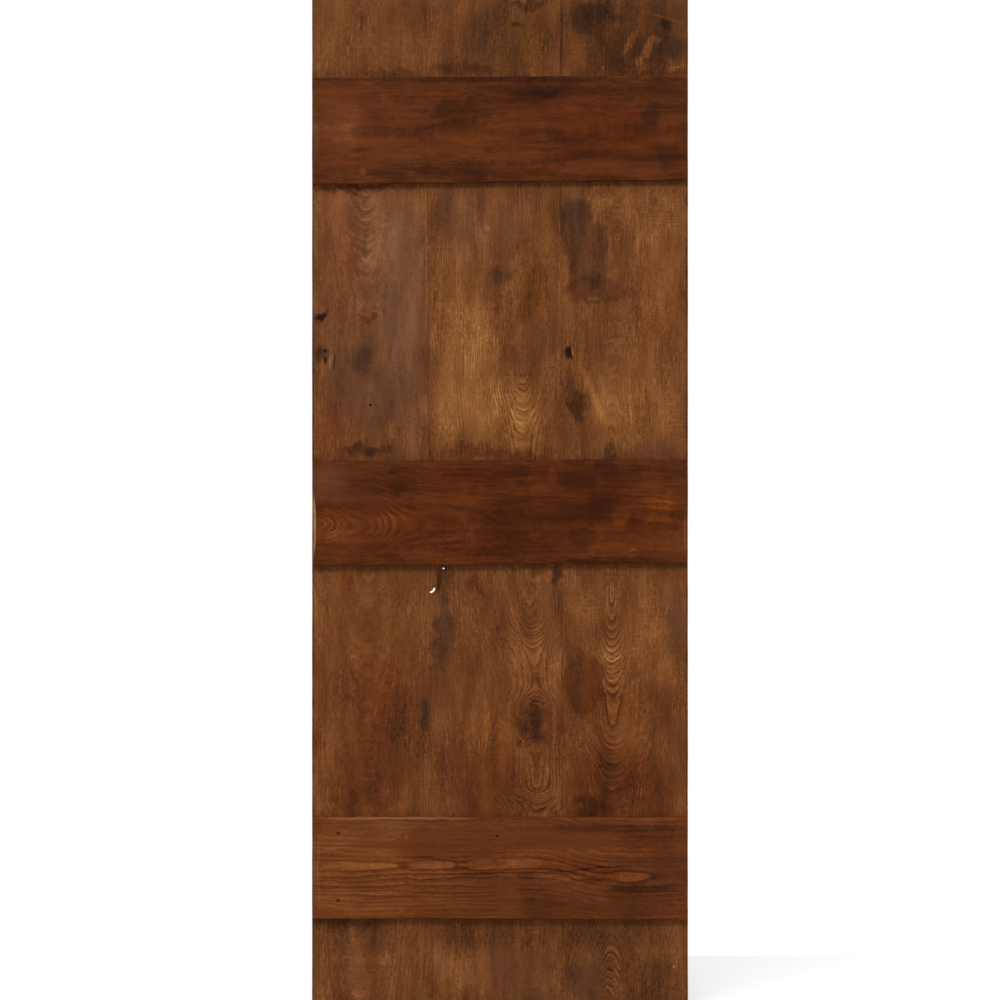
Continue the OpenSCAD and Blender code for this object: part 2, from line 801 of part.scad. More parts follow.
// One folded plate: a foot along the leaf's top edge, a bend, and a leg in front of
// the rail that ends in a round eye for the axle.
module hanger(side) {
    x = side * hanger_x;
    color(BLACK_STEEL)
        difference() {
            union() {
                translate([x - hanger_w / 2, 0, 0]) rotate([90, 0, 90]) linear_extrude(hanger_w) {
                    translate([leg_front_y, leaf_top_z + bend_out_r])
                        square([hanger_t, axle_z - leaf_top_z - bend_out_r]);
                    translate([leg_front_y + bend_out_r, leaf_top_z])
                        square([board_back_y - leg_front_y - bend_out_r, hanger_t]);
                    translate([leg_front_y + bend_out_r, leaf_top_z + bend_out_r])
                        intersection() {
                            difference() {
                                circle(bend_out_r);
                                circle(bend_in_r);
                            }
                            translate([-bend_out_r, -bend_out_r]) square(bend_out_r);
                        }
                }
                forward_from(x, leg_back_y, axle_z) cylinder(d = hanger_w, h = hanger_t);
                translate([x - hanger_foot_l / 2, leg_front_y + bend_out_r, leaf_top_z])
                    cube([hanger_foot_l, board_back_y - leg_front_y - bend_out_r, hanger_t]);
            }
            forward_from(x, leg_back_y + cut, axle_z)
                cylinder(d = axle_d + 2 * fit, h = hanger_t + 2 * cut);
            for (end = [-1, 1]) foot_screw(x + end * foot_screw_x, hole = true);
        }
}

module left_hanger() { hanger(-1); }
module right_hanger() { hanger(1); }

module hanger_screws() {
    color(ZINC)
        for (side = [-1, 1])
            for (end = [-1, 1]) foot_screw(side * hanger_x + end * foot_screw_x, hole = false);
}

axle_nut_y = hub_back_y + free + washer_t;

module axle_bolt(side) {
    thread_past_nut = 2;
    length = axle_nut_y + nut_h(axle_d) + thread_past_nut - leg_front_y;
    color(BLACK_STEEL) back_from(side * hanger_x, leg_front_y, axle_z) hex_bolt(axle_d, length);
}

module axle_spacer(side) {
    color(ZINC)
        back_from(side * hanger_x, leg_back_y, axle_z)
            ring(axle_d / 2 + bush_wall, axle_d / 2 + fit, hub_front_y - free - leg_back_y);
}

module axle_washer(side) {
    color(ZINC)
        back_from(side * hanger_x, hub_back_y + free, axle_z)
            ring(washer_r(axle_d), axle_d / 2 + fit, washer_t);
}

module axle_nut(side) {
    color(ZINC) back_from(side * hanger_x, axle_nut_y, axle_z) hex_nut(axle_d);
}

module left_axle_bolt() { axle_bolt(-1); }
module right_axle_bolt() { axle_bolt(1); }
module left_axle_spacer() { axle_spacer(-1); }
module right_axle_spacer() { axle_spacer(1); }
module left_axle_washer() { axle_washer(-1); }
module right_axle_washer() { axle_washer(1); }
module left_axle_nut() { axle_nut(-1); }
module right_axle_nut() { axle_nut(1); }

// Nylon disc under the rail, turned on its off-centre screw to set the play.
module anti_jump_disc(side) {
    color(NYLON)
        difference() {
            translate([side * (disc_x - disc_bore_offset), mid_y, leaf_top_z])
                cylinder(r = disc_r, h = disc_t);
            disc_screw(side * disc_x, hole = true);
        }
}

module left_anti_jump_disc() { anti_jump_disc(-1); }
module right_anti_jump_disc() { anti_jump_disc(1); }

module anti_jump_screws() {
    color(ZINC) for (side = [-1, 1]) disc_screw(side * disc_x, hole = false);
}

// Turned wheel: a hub, a web dished on both sides and a rim with a groove for the rail.
module wheel(side) {
    groove_play = 1;
    groove_half = rail_t / 2 + groove_play;
    groove_flare = 2;
    dish = 4;
    edge = 1;
    rim_t = 6;
    rim_in_r = wheel_roll_r - rim_t;
    color(NYLON)
        translate([side * hanger_x, mid_y, axle_z]) rotate([90, 0, 0]) rotate_extrude()
            polygon([
                [bush_r, -hub_w / 2], [hub_r, -hub_w / 2],
                [hub_r + edge, -wheel_w / 2 + dish], [rim_in_r - edge, -wheel_w / 2 + dish],
                [rim_in_r, -wheel_w / 2], [wheel_r - edge, -wheel_w / 2], [wheel_r, -wheel_w / 2 + edge],
                [wheel_r, -groove_half - groove_flare], [wheel_roll_r, -groove_half],
                [wheel_roll_r, groove_half], [wheel_r, groove_half + groove_flare],
                [wheel_r, wheel_w / 2 - edge], [wheel_r - edge, wheel_w / 2], [rim_in_r, wheel_w / 2],
                [rim_in_r - edge, wheel_w / 2 - dish], [hub_r + edge, wheel_w / 2 - dish],
                [hub_r, hub_w / 2], [bush_r, hub_w / 2]
            ]);
}

module left_wheel() { wheel(-1); }
module right_wheel() { wheel(1); }

module wheel_bush(side) {
    color(BRONZE)
        back_from(side * hanger_x, hub_front_y, axle_z)
            ring(bush_r, axle_d / 2 + run, hub_w);
}

module left_wheel_bush() { wheel_bush(-1); }
module right_wheel_bush() { wheel_bush(1); }

header_board();
track_rail();
rail_spacer(0);  // rail_spacer_1
rail_spacer(1);  // rail_spacer_2
rail_spacer(2);  // rail_spacer_3
rail_spacer(3);  // rail_spacer_4
rail_bolts();
rail_washers();
rail_nuts();
left_stop();
right_stop();
left_bumper();
right_bumper();
stop_set_screws();
floor_guide();
left_board();
middle_board();
right_board();
left_spline();
right_spline();
top_batten();
middle_batten();
bottom_batten();
batten_screw_set(top_batten_size);  // top_batten_screws
batten_screw_set(middle_batten_size);  // middle_batten_screws
batten_screw_set(bottom_batten_size);  // bottom_batten_screws
left_hanger();
right_hanger();
hanger_screws();
left_axle_bolt();
right_axle_bolt();
left_axle_spacer();
right_axle_spacer();
left_axle_washer();
right_axle_washer();
left_axle_nut();
right_axle_nut();
left_anti_jump_disc();
right_anti_jump_disc();
anti_jump_screws();
left_wheel();
right_wheel();
left_wheel_bush();
right_wheel_bush();
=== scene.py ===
import json
import math
from typing import NamedTuple

import bmesh
import bpy
from bpy.props import FloatProperty, FloatVectorProperty, PointerProperty
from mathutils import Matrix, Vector


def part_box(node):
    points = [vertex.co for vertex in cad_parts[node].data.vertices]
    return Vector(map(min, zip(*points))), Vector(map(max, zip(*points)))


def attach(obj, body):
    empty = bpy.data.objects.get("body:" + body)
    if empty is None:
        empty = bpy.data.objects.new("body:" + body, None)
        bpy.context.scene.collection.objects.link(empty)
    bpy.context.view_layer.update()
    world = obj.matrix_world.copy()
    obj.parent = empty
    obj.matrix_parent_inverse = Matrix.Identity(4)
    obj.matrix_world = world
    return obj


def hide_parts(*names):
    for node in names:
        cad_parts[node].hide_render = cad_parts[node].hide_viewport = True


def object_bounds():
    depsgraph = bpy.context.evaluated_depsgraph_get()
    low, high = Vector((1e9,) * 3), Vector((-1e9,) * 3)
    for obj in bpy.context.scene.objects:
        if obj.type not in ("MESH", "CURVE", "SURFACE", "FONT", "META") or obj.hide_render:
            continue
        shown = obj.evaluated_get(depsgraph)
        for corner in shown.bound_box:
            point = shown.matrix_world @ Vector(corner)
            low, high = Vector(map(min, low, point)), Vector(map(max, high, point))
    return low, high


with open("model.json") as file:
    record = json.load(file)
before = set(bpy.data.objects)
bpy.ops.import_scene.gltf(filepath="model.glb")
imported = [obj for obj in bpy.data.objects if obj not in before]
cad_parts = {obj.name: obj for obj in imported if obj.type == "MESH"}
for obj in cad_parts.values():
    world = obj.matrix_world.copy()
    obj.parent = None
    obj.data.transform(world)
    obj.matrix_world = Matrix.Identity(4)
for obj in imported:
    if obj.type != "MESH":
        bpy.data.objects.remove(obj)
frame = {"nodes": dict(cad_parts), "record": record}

bl_info = {
    "name": "Sliding Ledged Door",
    "version": (1, 0, 0),
    "blender": (4, 5, 0),
    "location": "View3D > Sidebar > Sliding Door",
    "description": "Models the worn oak leaf, finishes the sliding gear and sets up a plain stage",
    "category": "Object",
}

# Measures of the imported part, in metres
CAD_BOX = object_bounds()
MM = 0.001
LEAF_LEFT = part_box("left_board")[0].x
LEAF_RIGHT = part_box("right_board")[1].x
LEAF_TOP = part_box("left_board")[1].z
LEAF_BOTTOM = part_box("left_board")[0].z
BOARD_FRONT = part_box("left_board")[0].y
BOARD_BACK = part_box("left_board")[1].y
BATTEN_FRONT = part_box("top_batten")[0].y
SCREW_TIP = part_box("top_batten_screws")[0].y
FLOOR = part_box("floor_guide")[0].z
LEAF_WIDTH = LEAF_RIGHT - LEAF_LEFT
LEAF_HEIGHT = LEAF_TOP - LEAF_BOTTOM
MID_Y = (BOARD_FRONT + BOARD_BACK) / 2
CLEAR = 0.15 * MM       # room round screws and tongues


def on_leaf(across, drop, y):
    """The point that lies this many millimetres from the leaf's left side and below its top."""
    return Vector((LEAF_LEFT + across * MM, y, LEAF_TOP - drop * MM))


def colour(red, green, blue):
    """A linear colour from its 8-bit screen values."""
    def linear(level):
        share = level / 255
        return share / 12.92 if share <= 0.04045 else ((share + 0.055) / 1.055) ** 2.4
    return (linear(red), linear(green), linear(blue), 1.0)


# Figure and stains of the wood, with painted shade, painted highlights and painted sheen

class StainAndLight(NamedTuple):
    """A soft patch in millimetres on the leaf: its place, half sizes and what it does. Most are stain in the
    wood; some are painted shadow under the battens, painted highlights and painted grey sheen.
    """
    across: float
    drop: float
    half_w: float
    half_h: float
    # tone: mostly stain, but in some patches a painted shadow under a batten, in others a painted highlight
    tone: float = 0.0    # lighter or darker
    red: float = 0.0     # share of each tint
    # The cool grey tint below is painted sheen, standing in for light reflected off the satin finish
    grey_sheen: float = 0.0
    gold: float = 0.0
    turn: float = 0.0    # in degrees
    swirl: float = 0.0   # how far it bends the rings
    saw: float = 0.0     # strength of saw marks
    figure: float = 0.0  # how much more of the grain shows
    rim: float = 0.8     # softness of its rim


class Grain(NamedTuple):
    """How the growth rings run through one piece, in millimetres."""
    upright: bool
    face: float          # depth of the face that the stains lie on, behind the boards' front
    heart: tuple         # (along, across) points of the line that the rings wrap round
    climb: tuple         # (along, depth) points: how the pith sinks away, which bends the rings into arches
    pith: float          # least depth of the pith behind the face
    ring: float          # spacing of the rings
    base: float          # tone of the bare stain
    contrast: float      # strength of the rings
    fibre: float         # strength of the fibres
    blotch: float        # strength of the uneven stain
    red: float = 0.0     # share of each tint
    # The cool grey tint below is painted sheen over the whole piece
    grey_sheen: float = 0.0


LEFT_BOARD_GRAIN = Grain(
    upright=True, face=0, ring=6.5, pith=6, base=0.50, contrast=0.08, fibre=0.66, blotch=0.26,
    heart=((0, 96), (520, 110), (1000, 118), (1400, 112), (2032, 96)),
    climb=((0, 34), (150, 18), (374, 30), (640, 66), (900, 56), (1150, 58), (1250, 66), (1420, 70),
           (1700, 70), (2032, 84)))
LEFT_BOARD_STAINS_AND_LIGHT = (
    StainAndLight(0, 1016, 4, 1500, tone=-0.25),
    StainAndLight(233, 520, 2.5, 150, tone=0.14, red=0.3),
    StainAndLight(3, 1070, 7, 92, tone=0.46, grey_sheen=0.6),
    StainAndLight(30, 70, 60, 110, tone=0.04, gold=0.2),
    StainAndLight(110, 70, 140, 100, figure=-0.3),
    StainAndLight(205, 30, 50, 50, tone=-0.11, gold=0.3),
    StainAndLight(210, 440, 40, 80, tone=0.06, gold=0.2),
    StainAndLight(40, 420, 50, 60, tone=0.04, red=0.3),
    StainAndLight(110, 440, 130, 110, tone=0.04),
    StainAndLight(30, 1230, 60, 120, tone=0.05),
    StainAndLight(150, 1985, 110, 60, tone=0.05),
    StainAndLight(100, 48, 5, 30, tone=-0.16),
    StainAndLight(124, 60, 6, 14, tone=-0.10),
    StainAndLight(106, 127, 10, 28, tone=-0.06, swirl=9),
    StainAndLight(150, 150, 90, 14, tone=-0.10, red=0.3),
    # Painted shadow under the top batten: a darker, redder band along its lower edge
    StainAndLight(90, 382, 100, 13, tone=-0.22, red=0.5),
    StainAndLight(50, 535, 42, 160, red=0.55),
    StainAndLight(112, 545, 66, 130, figure=0.8),
    StainAndLight(104, 414, 6, 9, tone=-0.10, grey_sheen=0.7),
    StainAndLight(102, 439, 6, 9, tone=-0.10, grey_sheen=0.7),
    StainAndLight(106, 505, 7, 26, tone=-0.10, grey_sheen=0.7),
    StainAndLight(108, 600, 6, 10, tone=-0.09, grey_sheen=0.6),
    StainAndLight(126, 624, 7, 9, tone=-0.09, grey_sheen=0.6),
    StainAndLight(147, 488, 24, 66, tone=0.05, gold=0.4, swirl=8),
    StainAndLight(114, 647, 22, 16, tone=-0.12, red=0.6, swirl=8),
    # Painted sheen: grey patches on the middle panel that stand in for reflected light
    StainAndLight(185, 560, 66, 190, tone=0.04, grey_sheen=0.75),
    StainAndLight(60, 520, 190, 230, tone=0.02, grey_sheen=0.42),
    StainAndLight(205, 780, 110, 200, tone=0.02, grey_sheen=0.3),
    StainAndLight(120, 770, 130, 130, tone=-0.07, grey_sheen=0.65),
    StainAndLight(98, 731, 26, 34, tone=-0.12),
    StainAndLight(35, 870, 34, 70, tone=0.02, red=0.5),
    StainAndLight(113, 916, 62, 16, tone=-0.24, red=0.4),
    StainAndLight(158, 874, 11, 24, tone=0.10, gold=0.4),
    StainAndLight(228, 824, 12, 28, tone=0.14, red=0.5),
    StainAndLight(17, 650, 12, 17, tone=-0.50, swirl=14),
    StainAndLight(20, 722, 15, 22, tone=-0.22, grey_sheen=0.7),
    StainAndLight(26, 714, 4, 4, tone=-0.45),
    StainAndLight(26, 733, 3, 9, tone=-0.40),
    StainAndLight(45, 736, 2.5, 20, tone=-0.25),
    StainAndLight(35, 737, 4, 16, tone=0.16, grey_sheen=0.4),
    StainAndLight(106, 1184, 9, 15, tone=-0.04, grey_sheen=0.6),
    StainAndLight(70, 1180, 44, 22, tone=-0.03, red=0.5),
    StainAndLight(7, 1400, 14, 280, tone=0.02, red=0.5),
    StainAndLight(125, 1290, 60, 100, tone=0.01, gold=0.4),
    StainAndLight(110, 1260, 110, 130, figure=-0.35),
    StainAndLight(110, 1560, 120, 100, figure=-0.45),
    StainAndLight(120, 1400, 170, 270, red=0.22),
    StainAndLight(135, 1430, 90, 110, tone=-0.07, red=0.55),
    StainAndLight(228, 1457, 13, 34, tone=-0.18, grey_sheen=0.7, swirl=7),
    StainAndLight(110, 1580, 90, 80, tone=-0.12, red=0.3),
    StainAndLight(90, 1625, 90, 30, tone=-0.07, red=0.3),
    StainAndLight(195, 1560, 28, 90, tone=0.02, gold=0.4),
    StainAndLight(212, 1590, 56, 70, tone=-0.05),
    StainAndLight(120, 1590, 130, 110, red=0.2, gold=0.25),
    StainAndLight(196, 1480, 50, 120, tone=-0.09),
    StainAndLight(24, 1590, 44, 80, tone=0.08),
    # Painted shadow under the bottom batten
    StainAndLight(120, 1896, 130, 40, tone=-0.05),
    StainAndLight(70, 1872, 85, 26, tone=-0.16),
    StainAndLight(100, 1950, 40, 30, swirl=10),
)

MIDDLE_BOARD_GRAIN = Grain(
    upright=True, face=0, ring=4.2, pith=3, base=0.50, contrast=0.17, fibre=0.68, blotch=0.28,
    heart=((0, 440), (500, 428), (850, 428), (1300, 446), (1640, 456), (2032, 450)),
    climb=((0, 6), (374, 2), (650, 5), (740, 7), (940, 42), (1165, 4), (1330, 44), (1385, 46),
           (1450, 30), (1520, 34), (1600, 38), (1660, 66), (1864, 20), (2032, 40)))
MIDDLE_BOARD_STAINS_AND_LIGHT = (
    StainAndLight(385, 75, 150, 100, tone=-0.13, figure=-0.5),
    StainAndLight(506, 70, 3, 84, tone=-0.22),
    StainAndLight(380, 850, 150, 80, tone=0.06, gold=0.3),
    StainAndLight(280, 520, 50, 60, tone=0.06),
    StainAndLight(340, 450, 110, 110, tone=0.04),
    StainAndLight(500, 420, 34, 70, tone=-0.06, gold=0.5),
    StainAndLight(450, 1460, 50, 66, tone=-0.11, red=0.2),
    StainAndLight(290, 1975, 50, 60, tone=0.07),
    StainAndLight(400, 60, 150, 110, gold=0.25),
    StainAndLight(297, 840, 60, 70, tone=0.06),
    StainAndLight(467, 1340, 60, 60, tone=0.07),
    StainAndLight(430, 1560, 150, 160, red=0.15, gold=0.3),
    StainAndLight(297, 1910, 56, 40, tone=-0.06),
    StainAndLight(503, 580, 2.5, 120, tone=0.16, red=0.2),
    StainAndLight(331, 440, 2.5, 62, tone=0.14),
    StainAndLight(270, 15, 26, 20, tone=-0.06, grey_sheen=0.5),
    StainAndLight(351, 50, 36, 36, tone=-0.04, grey_sheen=0.5),
    StainAndLight(310, 142, 80, 20, tone=-0.16, red=0.5),
    StainAndLight(440, 8, 62, 13, tone=-0.18),
    StainAndLight(414, 52, 13, 7, tone=-0.22),
    StainAndLight(443, 90, 52, 56, tone=-0.01, gold=0.6),
    StainAndLight(300, 440, 66, 90, tone=-0.08, grey_sheen=0.6),
    StainAndLight(395, 470, 34, 90, tone=-0.06, grey_sheen=0.5),
    StainAndLight(310, 720, 80, 200, tone=0.19, gold=0.45, figure=0.2),
    StainAndLight(420, 830, 90, 90, tone=0.08, gold=0.4, figure=0.7),
    StainAndLight(432, 870, 30, 90, figure=0.3),
    StainAndLight(449, 590, 34, 66, tone=-0.10, red=0.2, gold=0.7),
    StainAndLight(388, 563, 30, 22, tone=-0.09, grey_sheen=0.5),
    StainAndLight(356, 464, 7, 9, tone=0.16),
    StainAndLight(375, 559, 12, 16, tone=-0.04),
    StainAndLight(370, 622, 14, 14, tone=-0.11),
    StainAndLight(433, 462, 24, 30, tone=-0.05, grey_sheen=0.5),
    StainAndLight(426, 503, 17, 18, tone=-0.10, red=0.6, swirl=9),
    StainAndLight(398, 562, 18, 20, tone=-0.04, red=0.5, swirl=7),
    StainAndLight(426, 632, 14, 34, tone=-0.08, red=0.7),
    StainAndLight(463, 538, 36, 140, tone=0.03, gold=0.5),
    StainAndLight(484, 830, 22, 76, tone=-0.05, red=0.4, grey_sheen=0.3),
    StainAndLight(370, 918, 140, 18, tone=-0.14, red=0.3),
    StainAndLight(257, 1176, 6, 30, tone=-0.26, gold=0.4),
    StainAndLight(268, 1180, 24, 40, tone=-0.14, gold=0.4, figure=-0.4),
    StainAndLight(264, 1216, 20, 16, tone=-0.10, grey_sheen=0.5),
    StainAndLight(266, 1288, 26, 84, tone=-0.22, grey_sheen=0.7),
    StainAndLight(375, 1400, 190, 270, red=0.22),
    StainAndLight(455, 1170, 30, 14, tone=0.10, gold=0.5),
    StainAndLight(495, 1168, 16, 17, tone=-0.24, grey_sheen=0.5),
    StainAndLight(325, 1188, 24, 14, tone=-0.14),
    StainAndLight(352, 1465, 10, 60, tone=0.13, gold=0.3),
    StainAndLight(446, 1476, 32, 44, tone=-0.12, grey_sheen=0.3, swirl=16),
    StainAndLight(452, 1432, 14, 18, tone=-0.10, red=0.7),
    StainAndLight(420, 1510, 8, 10, tone=-0.22, swirl=6),
    StainAndLight(445, 1330, 46, 150, tone=0.02, figure=0.8),
    StainAndLight(462, 1600, 40, 70, figure=0.8),
    StainAndLight(330, 1590, 110, 100, tone=-0.08, red=0.4),
    StainAndLight(410, 1655, 8, 16, swirl=6),
    StainAndLight(418, 1976, 88, 60, tone=-0.04, grey_sheen=0.4, figure=-0.4),
    StainAndLight(320, 1970, 50, 60, tone=0.05),
    # Painted shadow under the bottom batten
    StainAndLight(370, 1892, 140, 36, tone=-0.09),
    StainAndLight(265, 1955, 24, 66, tone=0.12),
)

RIGHT_BOARD_GRAIN = Grain(
    upright=True, face=0, ring=3.4, pith=2, base=0.50, contrast=0.16, fibre=0.68, blotch=0.28,
    heart=((0, 622), (600, 616), (1160, 608), (1500, 610), (1864, 606), (2032, 602)),
    climb=((0, 20), (374, 26), (700, 30), (900, 12), (1130, 0), (1420, 42), (1470, 44), (1656, 78),
           (1864, 42), (2032, 8)))
RIGHT_BOARD_STAINS_AND_LIGHT = (
    StainAndLight(762, 1016, 4, 1500, tone=-0.25),
    StainAndLight(760, 1080, 5, 48, tone=0.5, grey_sheen=0.5),
    StainAndLight(560, 36, 66, 40, tone=-0.17),
    StainAndLight(546, 107, 34, 38, tone=0.12, gold=0.5, saw=0.5),
    StainAndLight(645, 88, 9, 34, tone=0.22, figure=1.2, turn=30, rim=0.65),
    StainAndLight(682, 106, 14, 48, tone=0.27, figure=1.4, turn=31, rim=0.65),
    StainAndLight(722, 53, 15, 15, tone=-0.26, swirl=10),
    StainAndLight(715, 38, 3, 46, tone=0.14, turn=-73),
    StainAndLight(734, 141, 3, 26, tone=0.16, turn=75),
    StainAndLight(740, 100, 24, 42, tone=-0.12, grey_sheen=0.7),
    StainAndLight(590, 138, 3, 3, tone=0.40),
    StainAndLight(640, 80, 150, 110, tone=-0.17, figure=-0.6),
    StainAndLight(506, 70, 3, 84, tone=-0.22),
    StainAndLight(640, 110, 140, 60, tone=-0.09, red=0.3),
    StainAndLight(650, 16, 150, 36, tone=-0.07),
    StainAndLight(640, 60, 170, 110, tone=-0.02, gold=0.3),
    StainAndLight(600, 1540, 170, 180, red=0.2, gold=0.35),
    StainAndLight(534, 438, 36, 40, tone=-0.07, grey_sheen=0.3),
    StainAndLight(548, 492, 46, 96, tone=-0.16, grey_sheen=0.25, figure=-0.5, turn=-20, rim=0.35),
    StainAndLight(670, 450, 110, 120, tone=0.05),
    StainAndLight(578, 590, 76, 28, tone=-0.14, red=0.3, grey_sheen=0.2, rim=0.45),
    StainAndLight(650, 850, 120, 90, tone=0.06, gold=0.2),
    StainAndLight(738, 840, 36, 90, tone=0.06, saw=0.45),
    StainAndLight(690, 1330, 90, 80, tone=0.09, gold=0.2),
    StainAndLight(620, 1340, 60, 60, tone=0.06),
    StainAndLight(540, 1900, 50, 40, tone=-0.06),
    StainAndLight(551, 476, 16, 20, tone=-0.06, grey_sheen=0.6),
    StainAndLight(560, 566, 26, 16, tone=-0.06, grey_sheen=0.5),
    StainAndLight(527, 572, 10, 50, tone=-0.08, red=0.7),
    StainAndLight(561, 514, 9, 8, red=0.8),
    StainAndLight(585, 579, 9, 9, red=0.8),
    StainAndLight(570, 606, 17, 5, tone=0.18),
    StainAndLight(577, 411, 36, 27, tone=0.10, gold=0.5, swirl=9),
    StainAndLight(661, 488, 3, 52, tone=0.15),
    StainAndLight(718, 437, 44, 54, tone=0.03, saw=0.5),
    StainAndLight(700, 600, 60, 160, tone=0.06, red=0.3),
    StainAndLight(650, 790, 110, 130, tone=0.10, gold=0.2),
    StainAndLight(521, 717, 11, 16, tone=-0.50, swirl=10),
    # Painted highlight on the dark knot at the joint
    StainAndLight(528, 714, 3, 12, tone=0.55, grey_sheen=0.6, turn=-12),
    StainAndLight(529, 796, 15, 62, tone=-0.14, gold=0.3, figure=-0.5, turn=-12, rim=0.4),
    StainAndLight(540, 824, 26, 26, tone=-0.08, gold=0.3, rim=0.4),
    StainAndLight(568, 796, 10, 80, tone=0.16, red=0.3, gold=0.5, turn=-22),
    StainAndLight(605, 925, 13, 26, tone=-0.20, grey_sheen=0.4),
    StainAndLight(690, 914, 76, 16, tone=-0.07, grey_sheen=0.5),
    StainAndLight(640, 850, 60, 60, tone=-0.06),
    StainAndLight(560, 1235, 50, 50, tone=0.06, gold=0.2, saw=0.45),
    StainAndLight(690, 1240, 50, 90, tone=0.10, gold=0.2, saw=0.4),
    StainAndLight(547, 1388, 42, 68, tone=-0.13, red=0.5, figure=-0.4, rim=0.35),
    StainAndLight(570, 1430, 80, 60, tone=-0.06),
    StainAndLight(700, 1440, 70, 60, tone=-0.08),
    StainAndLight(630, 1400, 180, 270, red=0.2),
    StainAndLight(738, 1270, 25, 86, tone=-0.10, grey_sheen=0.6),
    StainAndLight(660, 1440, 46, 56, tone=0.06, gold=0.5),
    StainAndLight(606, 1340, 25, 230, tone=0.04, figure=1.6),
    StainAndLight(604, 1955, 40, 76, figure=1.3),
    StainAndLight(620, 1600, 140, 90, tone=-0.17, red=0.6),
    StainAndLight(560, 1640, 60, 22, tone=-0.12, red=0.4),
    StainAndLight(545, 1990, 50, 52, tone=-0.08, grey_sheen=0.6),
    StainAndLight(733, 1962, 3, 4, tone=0.45),
    # Painted shadow under the bottom batten
    StainAndLight(630, 1896, 150, 40, tone=-0.08),
    StainAndLight(640, 1990, 130, 60, tone=-0.10),
    StainAndLight(550, 1980, 50, 50, tone=-0.04),
)

TOP_BATTEN_GRAIN = Grain(
    upright=False, face=-19, ring=7.5, pith=10, base=0.36, contrast=0.04, fibre=0.30, blotch=0.27,
    heart=((0, 262), (250, 274), (500, 268), (762, 258)),
    climb=((0, 20), (200, 44), (420, 30), (600, 46), (762, 60)), red=0.2)
TOP_BATTEN_STAINS_AND_LIGHT = (
    StainAndLight(381, 164, 420, 8, tone=-0.14),
    StainAndLight(111, 172, 17, 6, tone=0.12),
    StainAndLight(45, 198, 18, 17, tone=0.03, swirl=11),
    StainAndLight(290, 228, 66, 30, tone=-0.13, gold=0.7),
    StainAndLight(380, 278, 120, 44, gold=0.7),
    StainAndLight(60, 262, 60, 56, tone=0.07, grey_sheen=0.35),
    StainAndLight(610, 256, 90, 40, tone=-0.04, red=0.6),
    StainAndLight(688, 300, 22, 24, tone=-0.04, gold=0.8),
    StainAndLight(20, 346, 30, 24, tone=-0.04, gold=0.7, grey_sheen=0.3),
    StainAndLight(50, 322, 60, 30, tone=0.06),
    StainAndLight(460, 192, 72, 28, tone=-0.13),
    StainAndLight(478, 192, 34, 15, tone=-0.08),
    StainAndLight(688, 234, 26, 26, tone=-0.11, grey_sheen=0.6),
    StainAndLight(104, 352, 9, 8, tone=0.24, gold=1.0),
    StainAndLight(157, 203, 20, 15, tone=0.08, gold=0.5),
    StainAndLight(94, 309, 22, 6, tone=-0.12, red=0.6),
    StainAndLight(249, 351, 40, 17, tone=-0.10, red=0.6),
    StainAndLight(718, 226, 34, 3, tone=0.10),
    StainAndLight(733, 254, 22, 3, tone=0.10),
    StainAndLight(728, 323, 40, 44, tone=-0.11),
    StainAndLight(4, 290, 15, 82, tone=0.07, grey_sheen=0.8),
    StainAndLight(80, 270, 110, 100, tone=0.04),
    StainAndLight(400, 348, 140, 18, tone=-0.09, red=0.3),
    StainAndLight(500, 200, 190, 44, tone=-0.08),
    StainAndLight(720, 190, 60, 40, tone=-0.07),
    StainAndLight(600, 270, 160, 70, red=0.3),
    StainAndLight(320, 178, 100, 20, tone=-0.06),
    StainAndLight(127, 258, 50, 40, tone=-0.10),
    StainAndLight(500, 260, 300, 130, red=0.4, gold=0.5),
)

